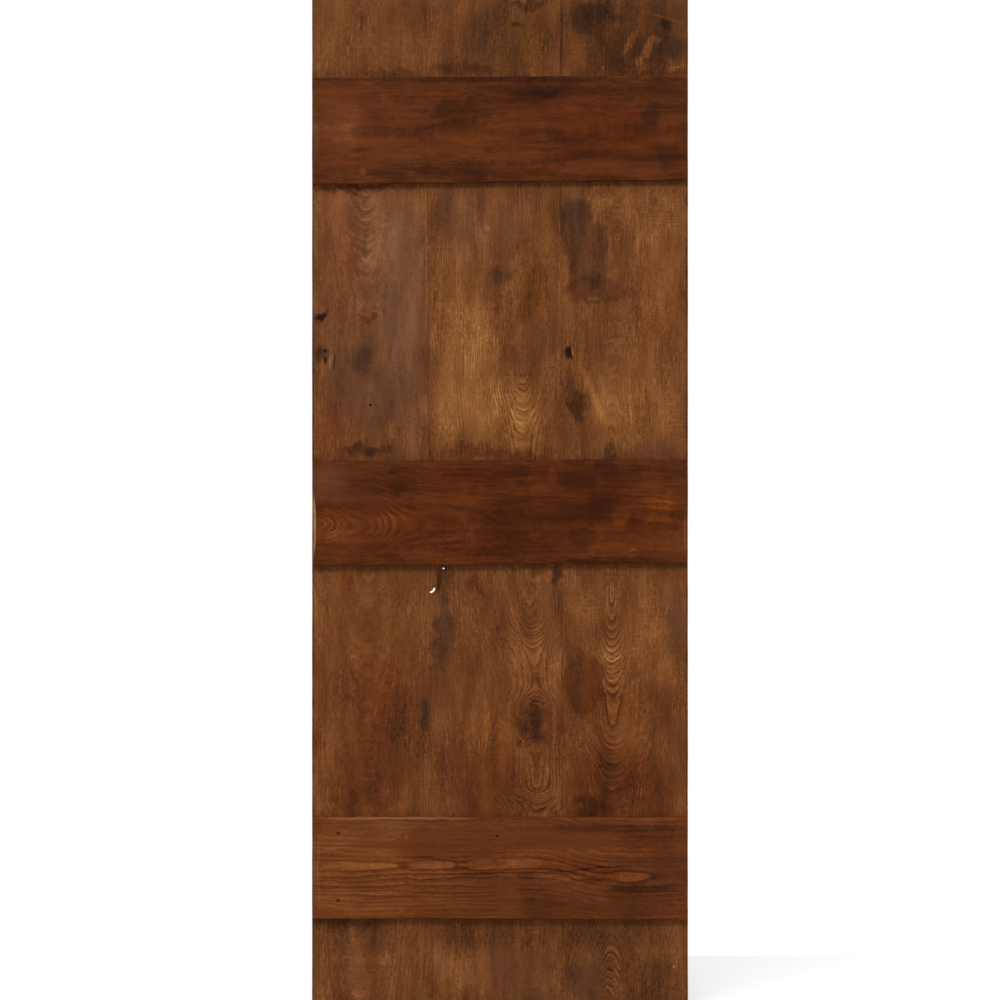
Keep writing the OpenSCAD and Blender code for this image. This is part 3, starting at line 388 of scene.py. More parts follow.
MIDDLE_BATTEN_GRAIN = Grain(
    upright=False, face=-19, ring=6.5, pith=8, base=0.35, contrast=-0.08, fibre=0.28, blotch=0.25,
    heart=((0, 1063), (300, 1066), (762, 1072)),
    climb=((0, 0), (20, 4), (80, 30), (110, 36), (190, 64), (240, 70), (320, 73), (762, 82)),
    red=0.3)
MIDDLE_BATTEN_STAINS_AND_LIGHT = (
    StainAndLight(34, 984, 54, 50, tone=0.08, red=-0.3, grey_sheen=0.9),
    StainAndLight(552, 1046, 60, 40, tone=-0.03),
    StainAndLight(637, 975, 50, 36, tone=-0.08),
    StainAndLight(400, 1040, 420, 150, red=0.55, gold=0.4),
    StainAndLight(180, 966, 70, 40, tone=-0.01),
    StainAndLight(540, 962, 100, 34, tone=-0.05),
    StainAndLight(370, 965, 160, 30, tone=-0.06, red=0.4),
    StainAndLight(165, 962, 20, 14, tone=-0.08, gold=0.8),
    StainAndLight(186, 994, 24, 14, tone=-0.09, gold=0.8),
    StainAndLight(325, 996, 18, 18, tone=-0.07, gold=0.7),
    StainAndLight(422, 970, 25, 30, tone=-0.09, gold=0.8, grey_sheen=0.3),
    StainAndLight(485, 966, 17, 24, tone=0.08, gold=0.8),
    StainAndLight(595, 950, 26, 28, tone=-0.10, red=0.3),
    StainAndLight(560, 1000, 90, 60, tone=-0.05, red=0.4),
    StainAndLight(628, 1052, 18, 24, tone=0.09, gold=1.0),
    StainAndLight(702, 1034, 42, 44, tone=0.12, gold=1.0, figure=0.8),
    StainAndLight(752, 1050, 14, 90, tone=0.03, grey_sheen=0.5),
    StainAndLight(755, 1078, 3, 46, tone=0.16, grey_sheen=0.5),
    StainAndLight(154, 1132, 30, 12, tone=-0.07, gold=0.7),
    StainAndLight(310, 1120, 84, 16, tone=-0.06, red=0.6),
    StainAndLight(453, 1094, 22, 14, tone=0.10, gold=0.8),
    StainAndLight(478, 1104, 12, 18, tone=0.02, red=0.7),
    StainAndLight(545, 1096, 30, 28, tone=-0.08, gold=0.6, grey_sheen=0.3),
    StainAndLight(644, 1119, 16, 14, tone=0.05, gold=0.5, swirl=12, figure=1.6),
    StainAndLight(566, 1086, 16, 16, swirl=8, figure=1.4),
    StainAndLight(50, 1062, 40, 32, tone=0.05, gold=0.5, figure=2.0),
    StainAndLight(160, 1064, 46, 42, tone=0.03, gold=0.6, figure=2.6),
    StainAndLight(330, 1090, 120, 36, figure=0.5),
    StainAndLight(318, 1082, 24, 18, swirl=9, figure=0.8),
    StainAndLight(362, 1076, 22, 16, swirl=-8, figure=0.8),
    StainAndLight(406, 1084, 26, 18, swirl=9, figure=0.8),
    StainAndLight(440, 1072, 120, 90, tone=-0.06),
    StainAndLight(596, 1112, 60, 24, tone=0.05),
    StainAndLight(585, 1030, 44, 34, tone=-0.08),
    StainAndLight(730, 1050, 50, 60, tone=0.04),
    StainAndLight(40, 1090, 60, 90, tone=0.04),
    StainAndLight(610, 1138, 170, 8, tone=-0.08, red=0.4),
)

BOTTOM_BATTEN_GRAIN = Grain(
    upright=False, face=-19, ring=10, pith=5, base=0.46, contrast=0.16, fibre=0.36, blotch=0.18,
    heart=((0, 1754), (300, 1757), (440, 1754), (540, 1768), (620, 1778), (762, 1776)),
    climb=((0, 0), (60, 1.5), (110, 3.4), (145, 5), (170, 5.7), (194, 7), (208, 0.5), (240, 2),
           (265, 4.4), (284, 5.7), (300, 7), (320, 5.6), (350, 1), (430, 1.5), (480, 4), (530, 5.6),
           (575, 7), (610, 5), (630, 1.5), (660, 3), (688, 5.7), (720, 7.5), (762, 8)), red=0.1)
BOTTOM_BATTEN_STAINS_AND_LIGHT = (
    # Painted highlight: a pale line along the bottom batten's upper arris, where light from above would catch
    # it
    StainAndLight(170, 1660, 200, 4, tone=0.28, grey_sheen=0.5),
    StainAndLight(13, 1770, 3, 100, tone=0.10, grey_sheen=0.5),
    StainAndLight(110, 1770, 190, 130, tone=0.08),
    StainAndLight(42, 1696, 56, 34, tone=0.06),
    StainAndLight(640, 1790, 60, 70, tone=-0.06),
    StainAndLight(680, 1700, 90, 30, tone=-0.09),
    StainAndLight(500, 1758, 80, 30, tone=-0.09),
    StainAndLight(212, 1770, 50, 110, tone=-0.07),
    StainAndLight(42, 1830, 50, 50, tone=0.05),
    StainAndLight(467, 1828, 56, 40, tone=-0.06),
    StainAndLight(500, 1850, 100, 40, tone=-0.07),
    StainAndLight(640, 1840, 110, 50, tone=-0.06),
    StainAndLight(300, 1764, 330, 26, figure=0.9),
    StainAndLight(620, 1776, 150, 26, figure=0.9),
    StainAndLight(160, 1800, 170, 44, figure=0.6),
    StainAndLight(381, 1698, 420, 30, figure=-0.5),
    StainAndLight(600, 1846, 190, 30, figure=-0.5),
    StainAndLight(93, 1754, 74, 9, tone=0.11, gold=0.2),
    StainAndLight(246, 1757, 46, 10, tone=0.12, red=0.2),
    StainAndLight(420, 1752, 104, 9, tone=0.12, red=0.2),
    StainAndLight(500, 1780, 42, 10, tone=0.12, red=0.2),
    StainAndLight(645, 1778, 46, 10, tone=0.13, red=0.2),
    StainAndLight(233, 1741, 76, 3, tone=-0.16, turn=4),
    StainAndLight(350, 1771, 60, 3, tone=-0.18, turn=-2),
    StainAndLight(560, 1763, 76, 3, tone=-0.20, turn=-4),
    StainAndLight(430, 1774, 24, 8, tone=-0.14, grey_sheen=0.4),
    StainAndLight(568, 1786, 30, 7, tone=-0.16),
    StainAndLight(690, 1780, 8, 6, tone=-0.16, grey_sheen=0.4),
    StainAndLight(665, 1803, 88, 11, tone=-0.14),
    StainAndLight(440, 1806, 40, 6, tone=-0.10),
    StainAndLight(585, 1682, 190, 11, tone=-0.14),
    StainAndLight(720, 1760, 50, 90, tone=-0.08, grey_sheen=0.3),
    StainAndLight(140, 1676, 150, 16, tone=0.03, grey_sheen=0.5),
    StainAndLight(3, 1760, 7, 90, tone=0.05, grey_sheen=0.8),
    StainAndLight(53, 1691, 5, 5, tone=-0.25),
    StainAndLight(53, 1827, 5, 5, tone=-0.20),
    StainAndLight(196, 1700, 11, 9, tone=0.05, swirl=6),
    StainAndLight(375, 1697, 4, 4, tone=-0.20),
)

HEADER_GRAIN = Grain(
    upright=False, face=47, ring=7, pith=40, base=0.45, contrast=0.13, fibre=0.6, blotch=0.25,
    heart=((-20, -60), (400, -70), (900, -52), (1490, -66)),
    climb=((-20, 0), (300, 20), (640, 4), (1000, 26), (1490, 10)), red=0.2)
HEADER_STAINS = (
    StainAndLight(300, -60, 120, 30, tone=-0.08),
    StainAndLight(820, -80, 160, 26, tone=0.06, gold=0.3),
    StainAndLight(1180, -40, 120, 26, tone=-0.07, red=0.3),
    StainAndLight(560, -30, 14, 9, tone=-0.25, swirl=10),
)

SPLINE_GRAIN = Grain(
    upright=True, face=9, ring=5, pith=60, base=0.78, contrast=0.10, fibre=0.7, blotch=0.2,
    heart=((0, 150), (2032, 160)), climb=((0, 0), (2032, 30)))


# Old marks cut into the wood, in millimetres on the leaf

KNOT_PITS = {           # across, drop, half width of the mouth, depth
    "left_board": ((13, 650, 9, 4), (17, 722, 7, 2.5)),
    "middle_board": ((262, 1172, 14, 3), (256, 1206, 9, 2.5)),
    "right_board": ((521, 712, 6, 3), (523, 728, 5, 2.5)),
}
CRACKS = {              # across, drop, length, width, lean
    "left_board": ((26, 733, 16, 2.4, 0.0), (45, 736, 36, 1.4, 1.0)),
    "middle_board": (),
    "right_board": ((518, 748, 30, 1.6, 0.6),),
}
BOARD_NAIL = (118, 823)
EDGE_HOLE = (266.5, 1155)
BOTTOM_NAILS = ((54, 1691), (54, 1827), (198, 1699), (375, 1697), (731, 1687), (727, 1835))


# Shader nodes

PATCH_REACH = 1.15      # where a patch ends, as a share of its half sizes
PATCH_DEPTH = 30.0      # how deep a patch goes into the wood, in millimetres


class Finish:
    """One node material, built step by step on the piece's own coordinates."""

    def __init__(self, name):
        self.material = bpy.data.materials.new(name)
        self.material.use_nodes = True
        self.tree = self.material.node_tree
        self.surface = self.tree.nodes["Principled BSDF"]
        self.object_place = self.tree.nodes.new("ShaderNodeTexCoord").outputs["Object"]

    def put(self, socket, value):
        """Links a socket to another node's output, or sets its own value."""
        if isinstance(value, bpy.types.NodeSocket):
            self.tree.links.new(value, socket)
        else:
            socket.default_value = value

    def dress(self, values):
        """Links or sets the surface's inputs by name."""
        for key, value in values.items():
            self.put(self.surface.inputs[key], value)

    def node(self, kind, values=(), **settings):
        """A new node with its settings and inputs."""
        made = self.tree.nodes.new(kind)
        for key, value in settings.items():
            setattr(made, key, value)
        for key, value in dict(values).items():
            self.put(made.inputs[key], value)
        return made

    def sum(self, operation, *values, clamp=False):
        """One step of arithmetic on numbers."""
        return self.node("ShaderNodeMath", enumerate(values), operation=operation, use_clamp=clamp).outputs[0]

    def vector(self, operation, *values):
        """One step of arithmetic on points."""
        return self.node("ShaderNodeVectorMath", enumerate(values), operation=operation)

    def in_millimetres(self):
        """The piece's own coordinates in millimetres."""
        scaled = self.vector("SCALE", self.object_place)
        scaled.inputs["Scale"].default_value = 1 / MM
        return scaled.outputs[0]

    def noise(self, place, size, detail=3.0, rough=0.5):
        """Smooth noise from 0 to 1, with its grain size given along each axis."""
        scaled = self.vector("DIVIDE", place, size).outputs[0]
        values = {"Vector": scaled, "Scale": 1.0, "Detail": detail, "Roughness": rough}
        return self.node("ShaderNodeTexNoise", values)

    def swing(self, place, size, reach, detail=2.0):
        """Noise that swings evenly to both sides of zero, as a number."""
        level = self.noise(place, size, detail).outputs["Fac"]
        return self.sum("MULTIPLY_ADD", level, 2 * reach, -reach)

    def ease(self, value, start, end, low=0.0, high=1.0):
        """A soft step from one level to another."""
        values = {"Value": value, "From Min": start, "From Max": end, "To Min": low, "To Max": high}
        return self.node("ShaderNodeMapRange", values, interpolation_type="SMOOTHSTEP").outputs["Result"]

    def patches(self, place, size, start, end, low=0.0, high=1.0):
        """Noise drawn apart into patches of two levels with soft rims."""
        return self.ease(self.noise(place, size, 2.0).outputs["Fac"], start, end, low, high)

    def ramp(self, value, stops):
        """A colour or level that follows stops from 0 to 1."""
        made = self.node("ShaderNodeValToRGB", {"Fac": value})
        elements = made.color_ramp.elements
        while len(elements) < len(stops):
            elements.new(1.0)
        for element, (position, level) in zip(elements, stops):
            element.position = position
            element.color = level if isinstance(level, tuple) else (level, level, level, 1.0)
        return made.outputs["Color"]

    def mix(self, share, first, second, blend="MIX"):
        """Two colours mixed by a share."""
        made = self.node("ShaderNodeMix", data_type="RGBA", blend_type=blend)
        for index, value in ((0, share), (6, first), (7, second)):
            self.put(made.inputs[index], value)
        return made.outputs[2]

    def follow(self, along, points):
        """A number that follows given points along the piece."""
        start, end = points[0][0], points[-1][0]
        low = min(level for _, level in points)
        span = max(max(level for _, level in points) - low, 1.0)
        share = self.sum("DIVIDE", self.sum("SUBTRACT", along, start), end - start, clamp=True)
        made = self.node("ShaderNodeFloatCurve", {"Value": share})
        line = made.mapping.curves[0]
        while len(line.points) < len(points):
            line.points.new(0.5, 0.5)
        for point, (place, level) in zip(line.points, points):
            point.location = ((place - start) / (end - start), (level - low) / span)
        made.mapping.update()
        return self.sum("MULTIPLY_ADD", made.outputs[0], span, low)

    def spot(self, place, stain, face):
        """1 in the middle of a patch, falling to 0 at its rim and at the back of the wood."""
        values = {
            "Vector": place,
            "Location": (stain.across, stain.drop, face),
            "Rotation": (0.0, 0.0, math.radians(stain.turn)),
            "Scale": (stain.half_w, stain.half_h, PATCH_DEPTH),
        }
        turned = self.node("ShaderNodeMapping", values, vector_type="TEXTURE").outputs[0]
        distance = self.vector("LENGTH", turned).outputs["Value"]
        return self.ease(distance, PATCH_REACH - stain.rim, PATCH_REACH, 1.0, 0.0)

    def bump(self, height, distance, strength):
        """Raises the surface by a height, in millimetres."""
        values = {"Height": height, "Distance": distance * MM, "Strength": strength}
        self.put(self.surface.inputs["Normal"], self.node("ShaderNodeBump", values).outputs[0])


# Oak

OAK_STEPS = (0.0, 0.25, 0.5, 0.75, 1.0)
RING_STEPS = ((0.0, 0.35), (0.1, 0.0), (0.34, 0.55), (0.7, 0.85), (0.94, 1.0), (1.0, 0.4))
RING_MIDDLE = 0.62      # level at which a ring leaves the tone as it is
FINE_PATCH = 12.0       # patches with a half size under this keep their place, in millimetres
BROAD_STRAY = (48, 66, 0)       # how far the rims of broad and of fine patches stray
FINE_STRAY = (9, 12, 0)
BOARD_BLOTCH = (36, 130, 40)    # size of the uneven stain on upright and on level pieces
BATTEN_BLOTCH = (140, 28, 40)
# The painted grey sheen hides this much of the grain where it is full
SHEEN_VEIL = 0.65             # how much of the grain full grey hides
TINTS = {
    "red": (1.03, 0.80, 0.66, 1.0),
    "gold": (1.06, 1.07, 0.78, 1.0),
    # Painted sheen: a cool grey that stands in for light reflected off the satin finish
    "grey_sheen": (0.98, 1.16, 1.75, 1.0),
}


def leaf_place(finish):
    """Millimetres from the leaf's left side, below its top and behind its boards' front."""
    values = {
        "Vector": finish.object_place,
        "Location": (-LEAF_LEFT / MM, LEAF_TOP / MM, -BOARD_FRONT / MM),
        "Rotation": (math.radians(90), 0.0, 0.0),
        "Scale": (1 / MM, 1 / MM, 1 / MM),
    }
    return finish.node("ShaderNodeMapping", values, vector_type="POINT").outputs[0]


def grain_size(grain, across, along, deep):
    """The size of a pattern that follows the grain, in the order of the leaf's coordinates."""
    return (across, along, deep) if grain.upright else (along, across, deep)


def lay_stains_and_light(finish, place, grain, stains_and_light):
    """What all the patches of stain, painted shade, painted highlights and painted sheen do at a point. Their
    rims are ragged, those of the small ones less so.
    """
    ragged = finish.noise(place, (24, 36, 30), 4.0, 0.55).outputs["Color"]
    ragged = finish.vector("SUBTRACT", ragged, (0.5, 0.5, 0.5)).outputs[0]
    broad_place = finish.vector("MULTIPLY_ADD", ragged, BROAD_STRAY, place).outputs[0]
    fine_place = finish.vector("MULTIPLY_ADD", ragged, FINE_STRAY, place).outputs[0]
    stained_and_lit = {"tone": grain.base, "red": grain.red, "grey_sheen": grain.grey_sheen, "gold": 0.0, "swirl": 0.0,
               "saw": 0.0, "figure": 0.0}
    for stain in stains_and_light:
        small = min(stain.half_w, stain.half_h) < FINE_PATCH
        mask = finish.spot(fine_place if small else broad_place, stain, grain.face)
        for kind in stained_and_lit:
            amount = getattr(stain, kind)
            if amount:
                stained_and_lit[kind] = finish.sum("MULTIPLY_ADD", mask, amount, stained_and_lit[kind])
    return stained_and_lit


def growth_rings(finish, place, grain, swirl):
    """Rings that wrap round a wandering heart line and climb along the piece, with the place on them."""
    axes = finish.node("ShaderNodeSeparateXYZ", {"Vector": place})
    across, along, depth = axes.outputs[0], axes.outputs[1], axes.outputs[2]
    if not grain.upright:
        across, along = along, across
    wander = finish.swing(place, grain_size(grain, 34, 260, 34), 13.0)
    waver = finish.swing(place, grain_size(grain, 12, 70, 12), 2.2)
    offset = finish.sum("SUBTRACT", across, finish.follow(along, grain.heart))
    offset = finish.sum("ADD", finish.sum("ADD", offset, wander), waver)
    sunk = finish.sum("SUBTRACT", finish.follow(along, grain.climb), depth)
    sunk = finish.sum("ADD", sunk, grain.face + grain.pith)
    squares = finish.sum("ADD", finish.sum("MULTIPLY", offset, offset), finish.sum("MULTIPLY", sunk, sunk))
    radius = finish.sum("ADD", finish.sum("SQRT", squares), swirl)
    ring_place = finish.node("ShaderNodeCombineXYZ", {0: radius, 1: along, 2: depth}).outputs[0]
    uneven = finish.swing(ring_place, (22, 900, 80), 0.9, 1.0)
    count = finish.sum("ADD", finish.sum("DIVIDE", radius, grain.ring), uneven)
    ring = finish.ramp(finish.sum("FRACT", count), RING_STEPS)
    return ring, ring_place


def oak(name, grain, stains_and_light, tones):
    """Oak under a dark stain: rings, fibres and pores along the grain, with the listed patches of stain,
    painted shade, painted highlights and painted sheen.
    """
    finish = Finish(name)
    place = leaf_place(finish)
    stained_and_lit = lay_stains_and_light(finish, place, grain, stains_and_light)
    ring, ring_place = growth_rings(finish, place, grain, stained_and_lit["swirl"])

    # Fibres and pores follow the rings
    coarse = finish.swing(ring_place, (4.5, 110, 8), 0.20, 3.0)
    fine = finish.swing(ring_place, (2.2, 16, 3), 0.30, 2.0)
    fleck = finish.swing(place, (6, 5, 5), 0.24, 3.0)
    streak = finish.patches(ring_place, (2.6, 55, 4), 0.56, 0.72)
    pore = finish.patches(ring_place, (0.8, 12, 1.5), 0.56, 0.68)
    blotch = finish.swing(place, BOARD_BLOTCH if grain.upright else BATTEN_BLOTCH, grain.blotch, 5.0)
    saw = finish.swing(place, grain_size(grain, 34, 3.6, 9), 0.40, 2.0)

    # The painted grey sheen softens the grain, and the best figured places stand out
    clear = finish.sum("MULTIPLY_ADD", stained_and_lit["grey_sheen"], -SHEEN_VEIL, 1.0, clamp=True)
    shown = finish.patches(place, (50, 80, 40), 0.38, 0.62, 0.25, 1.0)
    shown = finish.sum("ADD", finish.sum("MULTIPLY", shown, clear), stained_and_lit["figure"])
    shown = finish.sum("MULTIPLY", finish.sum("MAXIMUM", shown, 0.0), grain.contrast)
    furry = finish.patches(place, (70, 120, 60), 0.36, 0.64, 0.55, 1.25)
    furry = finish.sum("MULTIPLY_ADD", stained_and_lit["figure"], 0.35, finish.sum("MULTIPLY", furry, clear))
    furry = finish.sum("MULTIPLY", finish.sum("MAXIMUM", furry, 0.2), grain.fibre)

    # The tone, with its painted shade and highlights, picks the colour; the stain tints and the painted grey
    # sheen then change it
    tone = finish.sum("MULTIPLY_ADD", finish.sum("SUBTRACT", ring, RING_MIDDLE), shown, stained_and_lit["tone"])
    grit = finish.sum("ADD", finish.sum("ADD", coarse, fine), fleck)
    tone = finish.sum("MULTIPLY_ADD", grit, furry, tone)
    tone = finish.sum("ADD", tone, blotch)
    tone = finish.sum("MULTIPLY_ADD", streak, finish.sum("MULTIPLY", furry, 0.20), tone)
    tone = finish.sum("MULTIPLY_ADD", saw, stained_and_lit["saw"], tone)
    tone = finish.sum("MULTIPLY_ADD", pore, -0.13 * grain.fibre, tone)
    shade = finish.ramp(tone, tuple(zip(OAK_STEPS, (tuple(t) for t in tones))))
    for kind, tint in TINTS.items():
        shade = finish.mix(stained_and_lit[kind], shade, tint, "MULTIPLY")

    finish.dress({
        "Base Color": shade,
        "Roughness": finish.sum("MULTIPLY_ADD", finish.sum("ADD", coarse, blotch), 0.5, 0.52),
        "Specular IOR Level": 0.04,
    })
    relief = finish.sum("MULTIPLY", finish.sum("ADD", coarse, fine), 2.0)
    relief = finish.sum("MULTIPLY_ADD", ring, 0.5, relief)
    relief = finish.sum("MULTIPLY_ADD", pore, -0.6, relief)
    finish.bump(relief, 0.6, 0.35)
    return finish.material


# Finishes of the sliding gear

def shade_of(tint, share, lift=0.0):
    """A lighter or darker shade of a colour."""
    return tuple(share * level + lift for level in tint[:3]) + (1.0,)


def black_steel(tint):
    """Powder coat: a fine orange-peel skin, thinner and greyer in worn patches."""
    finish = Finish("black_powder_coat")
    place = finish.in_millimetres()
    peel = finish.noise(place, (0.9, 0.9, 0.9), 2.0).outputs["Fac"]
    cloud = finish.noise(place, (38, 38, 38), 5.0, 0.62).outputs["Fac"]
    rub = finish.ease(cloud, 0.56, 0.74)
    finish.dress({
        "Base Color": finish.mix(rub, tuple(tint), shade_of(tint, 2.1, 0.012)),
        "Roughness": finish.sum("MULTIPLY_ADD", rub, -0.14, 0.52),
        "Specular IOR Level": 0.4,
    })
    finish.bump(peel, 0.2, 0.3)
    return finish.material


def zinc_steel(tint):
    """Zinc plate: bright metal with a soft crystal bloom."""
    finish = Finish("zinc_plate")
    bloom = finish.noise(finish.in_millimetres(), (2.2, 2.2, 2.2), 4.0, 0.6).outputs["Fac"]
    finish.dress({
        "Base Color": finish.mix(bloom, shade_of(tint, 0.62), tuple(tint)),
        "Metallic": 1.0,
        "Roughness": finish.sum("MULTIPLY_ADD", bloom, -0.22, 0.48),
    })
    finish.bump(bloom, 0.1, 0.2)
    return finish.material


def moulded(name, tint, rough):
    """Black nylon or rubber: a faint mould grain with dusty patches."""
    finish = Finish(name)
    place = finish.in_millimetres()
    skin = finish.noise(place, (0.6, 0.6, 0.6), 2.0).outputs["Fac"]
    dust = finish.ease(finish.noise(place, (14, 14, 14), 4.0, 0.6).outputs["Fac"], 0.5, 0.75)
    finish.dress({
        "Base Color": finish.mix(dust, tuple(tint), shade_of(tint, 1.5, 0.02)),
        "Roughness": finish.sum("MULTIPLY_ADD", dust, 0.15, rough),
    })
    finish.bump(skin, 0.15, 0.25)
    return finish.material


def bronze(tint):
    """Sintered bronze: open pores dark with oil."""
    finish = Finish("sintered_bronze")
    pore = finish.ease(finish.noise(finish.in_millimetres(), (0.5, 0.5, 0.5)).outputs["Fac"], 0.5, 0.7)
    finish.dress({
        "Base Color": finish.mix(pore, tuple(tint), shade_of(tint, 0.35)),
        "Metallic": 1.0,
        "Roughness": finish.sum("MULTIPLY_ADD", pore, 0.2, 0.34),
    })
    finish.bump(pore, 0.12, 0.3)
    return finish.material


def wear(piece, material):
    """Gives a piece one material all over."""
    piece.data.materials.clear()
    piece.data.materials.append(material)


# Modelling

SAME = 1e-5             # lengths that differ by less count as equal
ALIGNED = 0.99          # cosine from which two directions count as one
SMOOTH_ANGLE = math.radians(35)
END_REACH = 6 * MM      # corners this near a node's end belong to it
SCREW_APART = 25 * MM   # screws stand further apart than this


def deselect_all():
    """Keeps the next operator off everything that exists."""
    bpy.ops.object.select_all(action="DESELECT")


def settle(piece, name):
    """Names a new piece and puts its place, turn and scale in its mesh."""
    piece.name = name
    piece.data.name = name
    bpy.ops.object.transform_apply(location=True, rotation=True, scale=True)
    return piece


def block(name, low, high):
    """A cube stretched between two corners."""
    deselect_all()
    low, high = Vector(low), Vector(high)
    bpy.ops.mesh.primitive_cube_add(size=1, location=(low + high) / 2, scale=high - low)
    return settle(bpy.context.object, name)


def drill(start, direction, length, radius, corners=28):
    """A round cutter from a point along a direction."""
    deselect_all()
    turn = direction.to_track_quat("Z", "Y").to_euler()
    centre = start + direction * length / 2
    bpy.ops.mesh.primitive_cone_add(vertices=corners, radius1=radius, radius2=radius, depth=length,
                                    location=centre, rotation=turn)
    return settle(bpy.context.object, "cutter")


def edit(piece, kind, test):
    """Enters edit mode with just those vertices, edges or faces selected that pass a test."""
    bpy.context.view_layer.objects.active = piece
    if piece.mode != "EDIT":
        bpy.ops.object.mode_set(mode="EDIT")
    bpy.ops.mesh.select_mode(type=kind)
    bpy.ops.mesh.select_all(action="DESELECT")
    mesh = bmesh.from_edit_mesh(piece.data)
    for element in {"VERT": mesh.verts, "EDGE": mesh.edges, "FACE": mesh.faces}[kind]:
        if test(element):
            element.select_set(True)
    mesh.select_flush_mode()
    bmesh.update_edit_mesh(piece.data)


def done():
    """Leaves edit mode."""
    bpy.ops.object.mode_set(mode="OBJECT")


def shift(piece, test, move):
    """Moves the corners that pass a test."""
    edit(piece, "VERT", lambda corner: test(corner.co))
    bpy.ops.transform.translate(value=move)
    done()


def near(first, second):
    """Whether two measures are the same."""
    return abs(first - second) < SAME


def runs_along(edge, axis):
    """Whether an edge runs along an axis, tapers included."""
    span = edge.verts[1].co - edge.verts[0].co
    return abs(span[axis]) > ALIGNED * span.length


def round_edges(piece, levels, reach):
    """Rounds the rim of each flat face that lies at one of the given depths."""
    edit(piece, "EDGE", lambda edge: any(
        near(edge.verts[0].co.y, level) and near(edge.verts[1].co.y, level) for level in levels))
    bpy.ops.mesh.bevel(offset=reach, segments=3, profile=0.5, affect="EDGES")
    done()


def divide(piece, axis, shortest, step):
    """Cuts the long edges along one axis into equal steps."""
    edit(piece, "EDGE", lambda edge: runs_along(edge, axis) and edge.calc_length() > shortest)
    longest = max(edge.calc_length() for edge in bmesh.from_edit_mesh(piece.data).edges if edge.select)
    bpy.ops.mesh.subdivide(number_cuts=max(1, round(longest / step) - 1))
    done()


def apply_modifier(piece, kind, **settings):
    """Adds a modifier with its settings and applies it."""
    bpy.context.view_layer.objects.active = piece
    made = piece.modifiers.new(kind.lower(), kind)
    for key, value in settings.items():
        setattr(made, key, value)
    bpy.ops.object.modifier_apply(modifier=made.name)


def ripple(piece, size, reach, group="", middle=0.5):
    """Moves a surface in and out by soft noise, as tools and wear leave it."""
    clouds = bpy.data.textures.new(f"{piece.name}_ripple", "CLOUDS")
    clouds.noise_scale = size
    clouds.noise_depth = 2
    apply_modifier(piece, "DISPLACE", texture=clouds, texture_coords="LOCAL", strength=reach,
                   mid_level=middle, vertex_group=group, direction="NORMAL")


def group_where(piece, name, test):
    """A vertex group of the corners that pass a test."""
    made = piece.vertex_groups.new(name=name)
    made.add([corner.index for corner in piece.data.vertices if test(corner.co)], 1.0, "REPLACE")


def end_span(node, axis, end, measure):
    """The lowest and highest measure of a node's corners at one of its ends."""
    corners = [corner.co for corner in frame["nodes"][node].data.vertices]
    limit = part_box(node)[end][axis]
    there = [corner[measure] for corner in corners if abs(corner[axis] - limit) < END_REACH]
    return min(there), max(there)


def tapered(name, node, room=0.0):
    """A block round an upright node that leans as the node does, with some room on all sides but the ends."""
    low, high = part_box(node)
    top = end_span(node, 2, 1, 0)
    bottom = end_span(node, 2, 0, 0)
    piece = block(name, low, high)
    for side, pick, out in ((0, low.x, -room), (1, high.x, room)):
        for level, span in ((high.z, top), (low.z, bottom)):
            shift(piece, lambda c: near(c.x, pick) and near(c.z, level), (span[side] + out - pick, 0, 0))
    for pick, out in ((low.y, -room), (high.y, room)):
        shift(piece, lambda c: near(c.y, pick), (0, out, 0))
    return piece


def carve(piece, cutters):
    """Cuts the cutters out of a piece and clears them away."""
    for cutter in cutters:
        apply_modifier(piece, "BOOLEAN", object=cutter, operation="DIFFERENCE", solver="EXACT")
        bpy.data.objects.remove(cutter)


def hand_over(piece, node, material):
    """Finishes a modelled piece of the leaf and lets it stand for its solid."""
    deselect_all()
    piece.select_set(True)
    bpy.context.view_layer.objects.active = piece
    bpy.ops.object.shade_smooth_by_angle(angle=SMOOTH_ANGLE)
    wear(piece, material)
    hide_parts(node)
    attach(piece, "leaf")


def screw_places(node, first, second):
    """Middle of each screw of a node, seen along its length."""
    groups = []
    for corner in frame["nodes"][node].data.vertices:
        point = Vector((corner.co[first], corner.co[second]))
        for group in groups:
            if (group[0] - point).length < SCREW_APART:
                group.append(point)
                break
        else:
            groups.append([point])
    places = []
    for group in groups:
        low = Vector((min(p.x for p in group), min(p.y for p in group)))
        high = Vector((max(p.x for p in group), max(p.y for p in group)))
        places.append((low + high) / 2)
    return places


# Boards and battens

FORWARD = Vector((0, -1, 0))
BACK = Vector((0, 1, 0))
DOWN = Vector((0, 0, -1))
ABOVE = 2 * MM          # how far a hole's cutter stands out of the face
PAST = 5 * MM           # how far a larger cutter runs past the wood
BOARD_WAVE = 60 * MM    # size of the planed waves on boards and battens, and of the wear on edges
BATTEN_WAVE = 70 * MM
EDGE_WAVE = 20 * MM


def countersink(head, length, settings):
    """A screw-shaped cutter: a straight shank that widens to the head and runs out of the back."""
    shank_r = settings.screw_d / 2 + CLEAR
    head_r = settings.screw_head_d / 2 + CLEAR
    head_h = settings.screw_head_h
    cutter = drill(head + FORWARD * head_h, FORWARD, length - head_h, shank_r)
    edit(cutter, "FACE", lambda face: face.normal.dot(BACK) > ALIGNED)
    bpy.ops.mesh.extrude_region_move(TRANSFORM_OT_translate={"value": BACK * head_h})
    grow = head_r / shank_r
    bpy.ops.transform.resize(value=(grow, 1, grow), center_override=head)
    bpy.ops.mesh.extrude_region_move(TRANSFORM_OT_translate={"value": BACK * MM})
    done()
    return cutter


